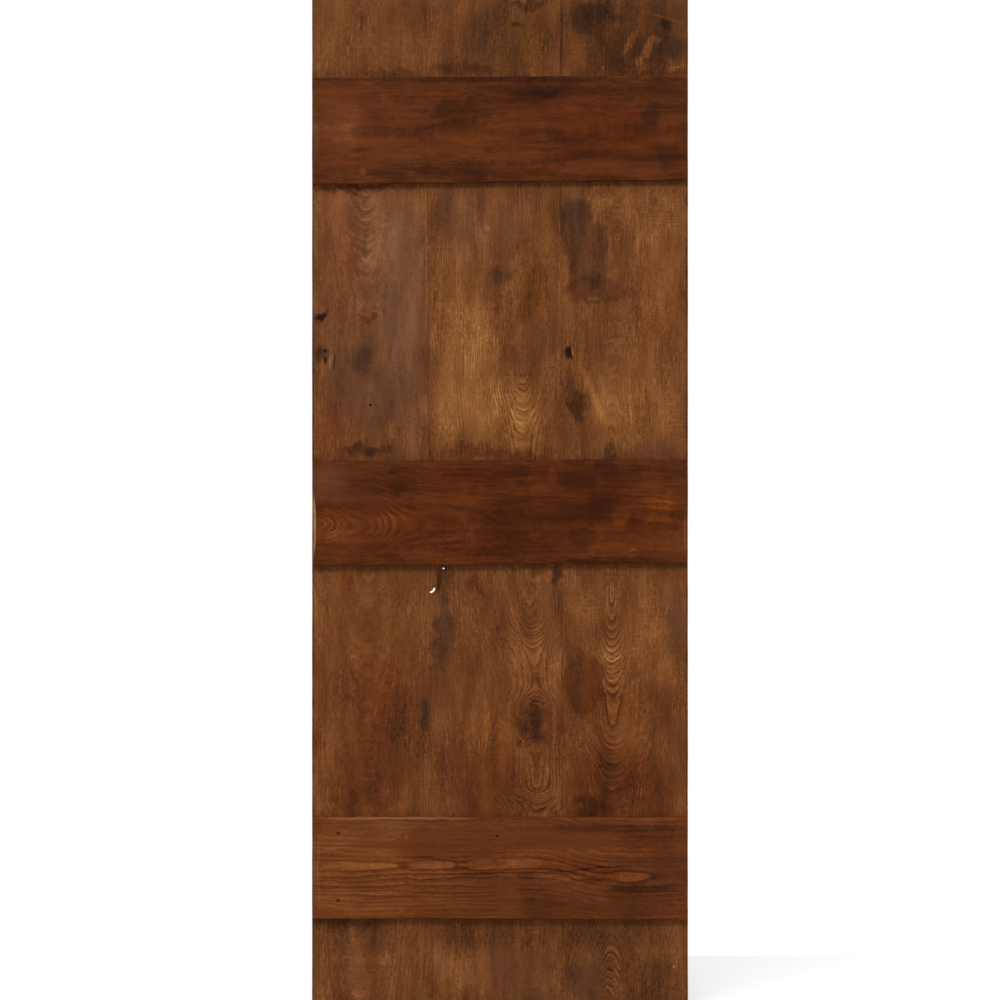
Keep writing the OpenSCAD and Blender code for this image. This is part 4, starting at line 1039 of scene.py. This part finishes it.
def screw_cutters(low_x, high_x, settings):
    """Countersunk holes of the batten screws that lie between two sides of a board."""
    cutters = []
    for node in ("top_batten_screws", "middle_batten_screws", "bottom_batten_screws"):
        for place in screw_places(node, 0, 2):
            if low_x < place.x < high_x:
                head = Vector((place.x, BOARD_BACK, place.y))
                cutters.append(countersink(head, settings.screw_l, settings))
    return cutters


def top_cutters(low_x, high_x, settings):
    """Holes in the leaf's top edge for the screws of the hangers and discs."""
    cutters = []
    for node in ("hanger_screws", "anti_jump_screws"):
        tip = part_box(node)[0].z
        for place in screw_places(node, 0, 1):
            if low_x < place.x < high_x:
                start = Vector((place.x, MID_Y, LEAF_TOP + MM))
                cutters.append(drill(start, DOWN, start.z - tip, settings.top_screw_d / 2 + CLEAR))
    return cutters


def board_blank(node, settings):
    """A board with its taper, rounded edges and hand-planed faces."""
    piece = tapered(f"oak_{node}", node)
    low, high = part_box(node)
    middle_x = (low.x + high.x) / 2
    if high.x < LEAF_RIGHT - MM:
        shift(piece, lambda c: c.x > middle_x, (settings.joint_close, 0, 0))
    if low.x > LEAF_LEFT + MM:
        shift(piece, lambda c: c.x < middle_x, (-settings.joint_close, 0, 0))
    round_edges(piece, (BOARD_FRONT, BOARD_BACK), settings.board_arris)
    divide(piece, 2, LEAF_HEIGHT / 2, settings.mesh_step)
    divide(piece, 0, LEAF_WIDTH / 8, settings.mesh_step)
    face_end = BOARD_FRONT + 3 * MM
    group_where(piece, "front", lambda c: c.y < face_end)
    ripple(piece, BOARD_WAVE, settings.face_wave, "front")
    return piece


def knot_pit(across, drop, mouth, depth):
    """A lumpy bowl that sinks a little into the boards' front."""
    deselect_all()
    taller = 1.35       # its height as a share of its width
    lump = 5 * MM
    ragged = 2.4 * MM
    bpy.ops.mesh.primitive_ico_sphere_add(
        subdivisions=4, radius=1, location=on_leaf(across, drop, BOARD_FRONT),
        scale=(mouth * MM, depth * MM, taller * mouth * MM))
    pit = settle(bpy.context.object, "cutter")
    ripple(pit, lump, ragged)
    return pit


def crack(across, drop, length, width, lean):
    """A short wedge that follows the grain into the boards' front."""
    deep = 6 * MM
    thin_end = 0.15     # width at its ends as a share of that in its middle
    middle = on_leaf(across, drop, BOARD_FRONT)
    half = Vector((width * MM / 2, deep, length * MM / 2))
    slit = block("cutter", middle - half, middle + half)
    for end in (-1, 1):
        level = middle.z + end * half.z
        edit(slit, "VERT", lambda v: near(v.co.z, level))
        bpy.ops.transform.resize(value=(thin_end, 1, 1), center_override=(middle.x, middle.y, level))
        bpy.ops.transform.translate(value=(end * lean * MM, 0, 0))
        done()
    return slit


def old_hole(place, face, depth, radius):
    """A round cutter that goes to a depth behind a face."""
    return drill(on_leaf(*place, face) + FORWARD * ABOVE, BACK, ABOVE + depth, radius)


def shake_ring(settings):
    """An open quarter ring right through the middle board, round a dead knot beside the left joint."""
    deselect_all()
    middle = on_leaf(settings.shake_across / MM, settings.shake_drop / MM, MID_Y)
    deep = BOARD_BACK - BOARD_FRONT + 2 * ABOVE
    reach = settings.shake_r + settings.shake_w / 2
    bpy.ops.mesh.primitive_plane_add(size=1, location=middle + Vector((reach, 0, 0)))
    bpy.ops.transform.resize(value=(settings.shake_w, deep, 1))
    ring = settle(bpy.context.object, "cutter")
    edit(ring, "FACE", lambda face: True)
    bpy.ops.mesh.spin(steps=8, angle=math.radians(-90), center=middle, axis=(0, 1, 0))
    bpy.ops.mesh.select_all(action="SELECT")
    bpy.ops.mesh.fill_holes(sides=4)
    bpy.ops.mesh.select_all(action="SELECT")
    bpy.ops.mesh.normals_make_consistent(inside=False)
    done()
    return ring


def board_marks(node, settings):
    """Cutters for the old marks in the front of one board."""
    marks = [knot_pit(*pit) for pit in KNOT_PITS[node]]
    marks += [crack(*slit) for slit in CRACKS[node]]
    if node == "left_board":
        marks.append(old_hole(BOARD_NAIL, BOARD_FRONT, settings.nail_depth, settings.nail_d / 2))
    if node == "middle_board":
        marks.append(shake_ring(settings))
        through = BOARD_BACK - BOARD_FRONT + ABOVE
        marks.append(old_hole(EDGE_HOLE, BOARD_FRONT, through, settings.edge_hole_d / 2))
    return marks


def make_boards(settings, finishes):
    """The three upright boards, with their joints, holes, knots and torn grain."""
    boards = (
        ("left_board", ("left_spline",), LEFT_BOARD_GRAIN, LEFT_BOARD_STAINS_AND_LIGHT),
        ("middle_board", ("left_spline", "right_spline"), MIDDLE_BOARD_GRAIN, MIDDLE_BOARD_STAINS_AND_LIGHT),
        ("right_board", ("right_spline",), RIGHT_BOARD_GRAIN, RIGHT_BOARD_STAINS_AND_LIGHT),
    )
    half_groove = settings.groove_w / 2
    for node, tongues, grain, stains_and_light in boards:
        piece = board_blank(node, settings)
        low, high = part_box(node)
        cutters = [tapered("cutter", tongue, CLEAR) for tongue in tongues]
        cutters.append(block("cutter", (LEAF_LEFT - PAST, MID_Y - half_groove, LEAF_BOTTOM - PAST),
                             (LEAF_RIGHT + PAST, MID_Y + half_groove, LEAF_BOTTOM + settings.groove_d)))
        cutters += screw_cutters(low.x, high.x, settings)
        cutters += top_cutters(low.x, high.x, settings)
        cutters += board_marks(node, settings)
        carve(piece, cutters)
        hand_over(piece, node, oak(f"{node}_oak", grain, stains_and_light, board_tones(finishes)))


def batten_blank(node, settings):
    """A batten with its own taper, worn front edges and planed face."""
    low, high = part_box(node)
    left = end_span(node, 0, 0, 2)
    right = end_span(node, 0, 1, 2)
    flare = settings.flare_rise if node == "top_batten" else 0.0
    right = (right[0], right[1] - flare)
    piece = block(f"oak_{node}", low, high)
    for side, pick in ((0, low.z), (1, high.z)):
        for level, span in ((low.x, left), (high.x, right)):
            shift(piece, lambda c: near(c.z, pick) and near(c.x, level), (0, 0, span[side] - pick))
    round_edges(piece, (low.y,), settings.batten_arris)
    divide(piece, 0, LEAF_WIDTH / 2, settings.mesh_step)
    divide(piece, 2, LEAF_WIDTH / 8, settings.mesh_step)
    if flare:
        lift_corner(piece, high.x, right[1], flare, settings)
    face_end = low.y + 0.3 * MM
    edge_start = low.y + 0.05 * MM
    edge_end = low.y + 6 * MM
    group_where(piece, "front", lambda c: c.y < face_end)
    group_where(piece, "edges", lambda c: edge_start < c.y < edge_end)
    ripple(piece, BATTEN_WAVE, settings.face_wave, "front", middle=0.6)
    ripple(piece, EDGE_WAVE, settings.edge_wear, "edges", middle=0.7)
    return piece


def lift_corner(piece, end_x, top_z, flare, settings):
    """Kicks up the last stretch of a batten's upper edge."""
    start_x = end_x - settings.flare_length
    under = top_z - 8 * MM
    columns = {round(c.co.x, 5) for c in piece.data.vertices if c.co.x > start_x and c.co.z > under}
    for column in sorted(columns):
        rise = flare * (column - start_x) / settings.flare_length
        shift(piece, lambda c: near(c.x, column) and c.z > under, (0, 0, rise))


def batten_marks(node, settings):
    """Cutters for the old marks in one batten."""
    if node == "middle_batten":
        chord, deep = settings.hollow_chord, settings.hollow
        radius = (chord ** 2 / 4 + deep ** 2) / (2 * deep)
        foot = end_span(node, 0, 0, 2)[0] + settings.hollow_foot
        start = Vector((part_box(node)[0].x + deep - radius, BATTEN_FRONT - PAST, foot + chord / 2))
        return [drill(start, BACK, BOARD_FRONT - BATTEN_FRONT + 2 * PAST, radius, corners=200)]
    if node == "bottom_batten":
        deep, radius = settings.filled_depth, settings.nail_d / 2
        return [old_hole(nail, BATTEN_FRONT, deep, radius) for nail in BOTTOM_NAILS]
    return []


def make_battens(settings, finishes):
    """The three battens that hold the boards together."""
    battens = (
        ("top_batten", TOP_BATTEN_GRAIN, TOP_BATTEN_STAINS_AND_LIGHT),
        ("middle_batten", MIDDLE_BATTEN_GRAIN, MIDDLE_BATTEN_STAINS_AND_LIGHT),
        ("bottom_batten", BOTTOM_BATTEN_GRAIN, BOTTOM_BATTEN_STAINS_AND_LIGHT),
    )
    for node, grain, stains_and_light in battens:
        piece = batten_blank(node, settings)
        cutters = batten_marks(node, settings)
        for place in screw_places(f"{node}_screws", 0, 2):
            start = Vector((place.x, BOARD_BACK, place.y))
            cutters.append(drill(start, FORWARD, settings.screw_l, settings.screw_d / 2 + CLEAR))
        carve(piece, cutters)
        hand_over(piece, node, oak(f"{node}_oak", grain, stains_and_light, batten_tones(finishes)))


# Settings

def length_property(name, description, default):
    """A length that the panel shows."""
    return FloatProperty(name=name, description=description, default=default, unit="LENGTH")


def tone_property(name, description, tone):
    """A colour that the panel shows."""
    return FloatVectorProperty(name=name, description=description, subtype="COLOR", size=4, min=0, max=1,
                               default=tone)


class LeafSettings(bpy.types.PropertyGroup):
    """Sizes of the modelled leaf."""
    board_arris: length_property("Board arris", "Reach of a board's rounded edges", 0.9 * MM)
    joint_close: length_property("Joint closing", "How far a joint's sides close up with damp", 0.24 * MM)
    batten_arris: length_property("Batten arris", "Reach of a batten's rounded front edges", 2.6 * MM)
    mesh_step: length_property("Mesh step", "Spacing of the mesh on the faces", 10 * MM)
    face_wave: length_property("Face wave", "Unevenness of the hand-planed faces", 0.9 * MM)
    edge_wear: length_property("Edge wear", "Unevenness of the worn edges", 2.2 * MM)
    screw_d: length_property("Screw shank", "Diameter of the batten screws", 4.5 * MM)
    screw_head_d: length_property("Screw head", "Diameter of the batten screws' heads", 9 * MM)
    screw_head_h: length_property("Screw head height", "Height of the batten screws' heads", 3 * MM)
    screw_l: length_property("Screw length", "Depth of the batten screws' holes",
                             BOARD_BACK - SCREW_TIP + CLEAR)
    top_screw_d: length_property("Top screw shank", "Diameter of the screws in the top edge", 6 * MM)
    groove_w: length_property("Groove width", "Width of the guide groove under the leaf", 8 * MM)
    groove_d: length_property("Groove depth", "Depth of the guide groove under the leaf", 15 * MM)
    nail_d: length_property("Nail hole", "Diameter of the old nail holes", 5 * MM)
    nail_depth: length_property("Nail hole depth", "Depth of the open nail hole in the left board", 9 * MM)
    filled_depth: length_property("Filled hole depth", "Depth of the nail holes in the bottom batten", 2 * MM)
    edge_hole_d: length_property("Edge hole", "Diameter of the hole under the middle batten", 3.5 * MM)
    shake_r: length_property("Shake radius", "Inner radius of the open ring round a dead knot", 7.5 * MM)
    shake_w: length_property("Shake width", "Width of that open ring", 3.5 * MM)
    shake_across: length_property("Shake across", "Middle of the dead knot from the left side", 238.6 * MM)
    shake_drop: length_property("Shake drop", "Middle of the dead knot below the top", 1194 * MM)
    hollow: length_property("End hollow", "Depth of the worn hollow in the middle batten's end", 7 * MM)
    hollow_chord: length_property("Hollow length", "Length of that hollow along the end", 156 * MM)
    hollow_foot: length_property("Hollow foot", "Start of that hollow above the batten's foot", 4 * MM)
    flare_rise: length_property("Flare rise", "Kick of the top batten's right upper corner", 11 * MM)
    flare_length: length_property("Flare length", "Length of that kick along the edge", 62 * MM)


class FinishSettings(bpy.types.PropertyGroup):
    """Colours of the stain and of the sliding gear."""
    board_black: tone_property("Board black", "Darkest tone of the boards", colour(34, 19, 11))
    board_dark: tone_property("Board dark", "Dark tone of the boards", colour(68, 38, 19))
    board_mid: tone_property("Board middle", "Middle tone of the boards", colour(104, 60, 29))
    board_light: tone_property("Board light", "Light tone of the boards", colour(136, 87, 48))
    board_pale: tone_property("Board pale", "Palest tone of the boards", colour(176, 128, 80))
    batten_black: tone_property("Batten black", "Darkest tone of the battens", colour(32, 16, 9))
    batten_dark: tone_property("Batten dark", "Dark tone of the battens", colour(64, 31, 12))
    batten_mid: tone_property("Batten middle", "Middle tone of the battens", colour(102, 53, 22))
    batten_light: tone_property("Batten light", "Light tone of the battens", colour(136, 82, 43))
    batten_pale: tone_property("Batten pale", "Palest tone of the battens", colour(176, 122, 74))
    steel: tone_property("Black steel", "Powder coat of the rail and hangers", colour(36, 36, 38))
    zinc: tone_property("Zinc", "Plating of the screws, nuts and washers", colour(196, 196, 192))
    nylon: tone_property("Nylon", "Wheels, discs and floor guide", colour(34, 34, 36))
    rubber: tone_property("Rubber", "Bumpers on the stops", colour(28, 28, 28))
    bronze: tone_property("Bronze", "Bushes in the wheels", colour(190, 142, 84))


class StageSettings(bpy.types.PropertyGroup):
    """Light, floor and camera."""
    camera_distance: length_property("Camera distance", "From the boards' front to the camera", 12.0)
    sky_level: FloatProperty(name="Sky level", description="Strength of the even light all round",
                             default=0.62)
    key_power: FloatProperty(name="Key power", description="Power of the large soft lamp above the front",
                             default=390.0, unit="POWER")
    floor_tint: tone_property("Floor", "Colour of the floor", (0.86, 0.86, 0.86, 1.0))


def board_tones(finishes):
    """The five tones of the boards, from dark to pale."""
    return (finishes.board_black, finishes.board_dark, finishes.board_mid, finishes.board_light,
            finishes.board_pale)


def batten_tones(finishes):
    """The five tones of the battens, from dark to pale."""
    return (finishes.batten_black, finishes.batten_dark, finishes.batten_mid, finishes.batten_light,
            finishes.batten_pale)


# Stage

FLOOR_REACH = Vector((2.4, 1.3, 0))     # from the middle to the floor's edges
FLOOR_THICK = Vector((0, 0, 20 * MM))
FLOOR_GLOW = 0.36       # lifts the floor to white where no shadow lies
LAMP_PLACE = Vector((-1.2, -7.0, 4.0))
LAMP_SIZE = (3.6, 2.4)
SENSOR = 36             # width of the camera's sensor, in millimetres
PICTURE_FILL = 0.998    # height of the picture as a share of the leaf's height


def seen_directly(tree):
    """1 for what the camera sees, itself or through metal and glass, and 0 for light on surfaces."""
    path = tree.nodes.new("ShaderNodeLightPath")
    seen = path.outputs["Is Camera Ray"]
    for kind in ("Is Glossy Ray", "Is Transmission Ray"):
        either = tree.nodes.new("ShaderNodeMath")
        either.operation = "MAXIMUM"
        tree.links.new(seen, either.inputs[0])
        tree.links.new(path.outputs[kind], either.inputs[1])
        seen = either.outputs[0]
    return seen


def leaf_middle():
    """The middle of the leaf, on the boards' front."""
    return on_leaf(LEAF_WIDTH / MM / 2, LEAF_HEIGHT / MM / 2, BOARD_FRONT)


def make_floor(settings):
    """A pale floor that reads white and keeps the door's shadow."""
    middle = Vector(((CAD_BOX[0].x + CAD_BOX[1].x) / 2, MID_Y, FLOOR))
    floor = block("floor", middle - FLOOR_REACH - FLOOR_THICK, middle + FLOOR_REACH)
    finish = Finish("pale_floor")
    finish.dress({
        "Base Color": tuple(settings.floor_tint),
        "Roughness": 0.9,
        "Specular IOR Level": 0.0,
        "Emission Color": (1.0, 1.0, 1.0, 1.0),
        "Emission Strength": finish.sum("MULTIPLY", seen_directly(finish.tree), FLOOR_GLOW),
    })
    wear(floor, finish.material)


def make_light(scene, settings):
    """Even light all round, with one large soft lamp above the front."""
    scene.view_settings.view_transform = "Standard"
    world = bpy.data.worlds.new("white_studio")
    world.use_nodes = True
    scene.world = world
    tree = world.node_tree
    level = tree.nodes.new("ShaderNodeMath")
    level.operation = "MULTIPLY_ADD"
    tree.links.new(seen_directly(tree), level.inputs[0])
    level.inputs[1].default_value = 1.0 - settings.sky_level
    level.inputs[2].default_value = settings.sky_level
    sky = tree.nodes["Background"]
    sky.inputs["Color"].default_value = (1.0, 1.0, 1.0, 1.0)
    tree.links.new(level.outputs[0], sky.inputs["Strength"])

    turn = (leaf_middle() - LAMP_PLACE).to_track_quat("-Z", "Y").to_euler()
    bpy.ops.object.light_add(type="AREA", location=LAMP_PLACE, rotation=turn)
    lamp = bpy.context.object
    lamp.name = "key_lamp"
    lamp.data.shape = "RECTANGLE"
    lamp.data.size, lamp.data.size_y = LAMP_SIZE
    lamp.data.energy = settings.key_power


def make_camera(scene, settings):
    """Square on to the leaf, which fills the picture from top to bottom."""
    place = leaf_middle() + FORWARD * settings.camera_distance
    bpy.ops.object.camera_add(location=place, rotation=(math.radians(90), 0, 0))
    camera = bpy.context.object
    camera.name = "front_camera"
    camera.data.sensor_width = SENSOR
    camera.data.lens = SENSOR * settings.camera_distance / (PICTURE_FILL * LEAF_HEIGHT)
    camera.data.clip_end = 100
    scene.camera = camera


# Operators and panel

class SLIDINGDOOR_OT_boards(bpy.types.Operator):
    """Model the three upright boards and their finish"""
    bl_idname = "slidingdoor.boards"
    bl_label = "Boards"

    def execute(self, context):
        make_boards(context.scene.sliding_door_leaf, context.scene.sliding_door_finish)
        return {"FINISHED"}


class SLIDINGDOOR_OT_battens(bpy.types.Operator):
    """Model the three battens and their finish"""
    bl_idname = "slidingdoor.battens"
    bl_label = "Battens"

    def execute(self, context):
        make_battens(context.scene.sliding_door_leaf, context.scene.sliding_door_finish)
        return {"FINISHED"}


class SLIDINGDOOR_OT_timber(bpy.types.Operator):
    """Finish the header board and the loose tongues between the boards"""
    bl_idname = "slidingdoor.timber"
    bl_label = "Header and tongues"

    def execute(self, context):
        tones = board_tones(context.scene.sliding_door_finish)
        wear(frame["nodes"]["header_board"], oak("header_oak", HEADER_GRAIN, HEADER_STAINS, tones))
        raw = oak("raw_oak", SPLINE_GRAIN, (), tones)
        for node in ("left_spline", "right_spline"):
            wear(frame["nodes"][node], raw)
        return {"FINISHED"}


class SLIDINGDOOR_OT_gear(bpy.types.Operator):
    """Finish the rail, hangers, wheels, stops, guide and all fasteners"""
    bl_idname = "slidingdoor.gear"
    bl_label = "Sliding gear"

    def execute(self, context):
        finishes = context.scene.sliding_door_finish
        made = {
            "black_steel": black_steel(finishes.steel),
            "zinc_steel": zinc_steel(finishes.zinc),
            "nylon": moulded("black_nylon", finishes.nylon, 0.42),
            "rubber": moulded("black_rubber", finishes.rubber, 0.72),
            "bronze": bronze(finishes.bronze),
        }
        for part in frame["record"]["subparts"]:
            if part["material_slot"] in made:
                wear(frame["nodes"][part["node"]], made[part["material_slot"]])
        return {"FINISHED"}


class SLIDINGDOOR_OT_stage(bpy.types.Operator):
    """Set up the floor, the light and the camera"""
    bl_idname = "slidingdoor.stage"
    bl_label = "Stage"

    def execute(self, context):
        settings = context.scene.sliding_door_stage
        make_floor(settings)
        make_light(context.scene, settings)
        make_camera(context.scene, settings)
        return {"FINISHED"}


class SLIDINGDOOR_PT_panel(bpy.types.Panel):
    """Lists the sizes and colours, and the steps that dress the door"""
    bl_idname = "SLIDINGDOOR_PT_panel"
    bl_label = "Sliding Door"
    bl_space_type = "VIEW_3D"
    bl_region_type = "UI"
    bl_category = "Sliding Door"

    def draw(self, context):
        for group in GROUPS:
            settings = getattr(context.scene, group)
            for key in settings.__annotations__:
                self.layout.prop(settings, key)
        for step in STEPS:
            self.layout.operator(step.bl_idname)


GROUPS = {
    "sliding_door_leaf": LeafSettings,
    "sliding_door_finish": FinishSettings,
    "sliding_door_stage": StageSettings,
}
STEPS = (SLIDINGDOOR_OT_boards, SLIDINGDOOR_OT_battens, SLIDINGDOOR_OT_timber, SLIDINGDOOR_OT_gear,
         SLIDINGDOOR_OT_stage)
CLASSES = (*GROUPS.values(), *STEPS, SLIDINGDOOR_PT_panel)


def register():
    for cls in CLASSES:
        bpy.utils.register_class(cls)
    for group, cls in GROUPS.items():
        setattr(bpy.types.Scene, group, PointerProperty(type=cls))


def unregister():
    for group in GROUPS:
        delattr(bpy.types.Scene, group)
    for cls in reversed(CLASSES):
        bpy.utils.unregister_class(cls)


def main():
    register()
    bpy.ops.slidingdoor.boards()
    bpy.ops.slidingdoor.battens()
    bpy.ops.slidingdoor.timber()
    bpy.ops.slidingdoor.gear()
    bpy.ops.slidingdoor.stage()


if __name__ == "__main__":
    main()
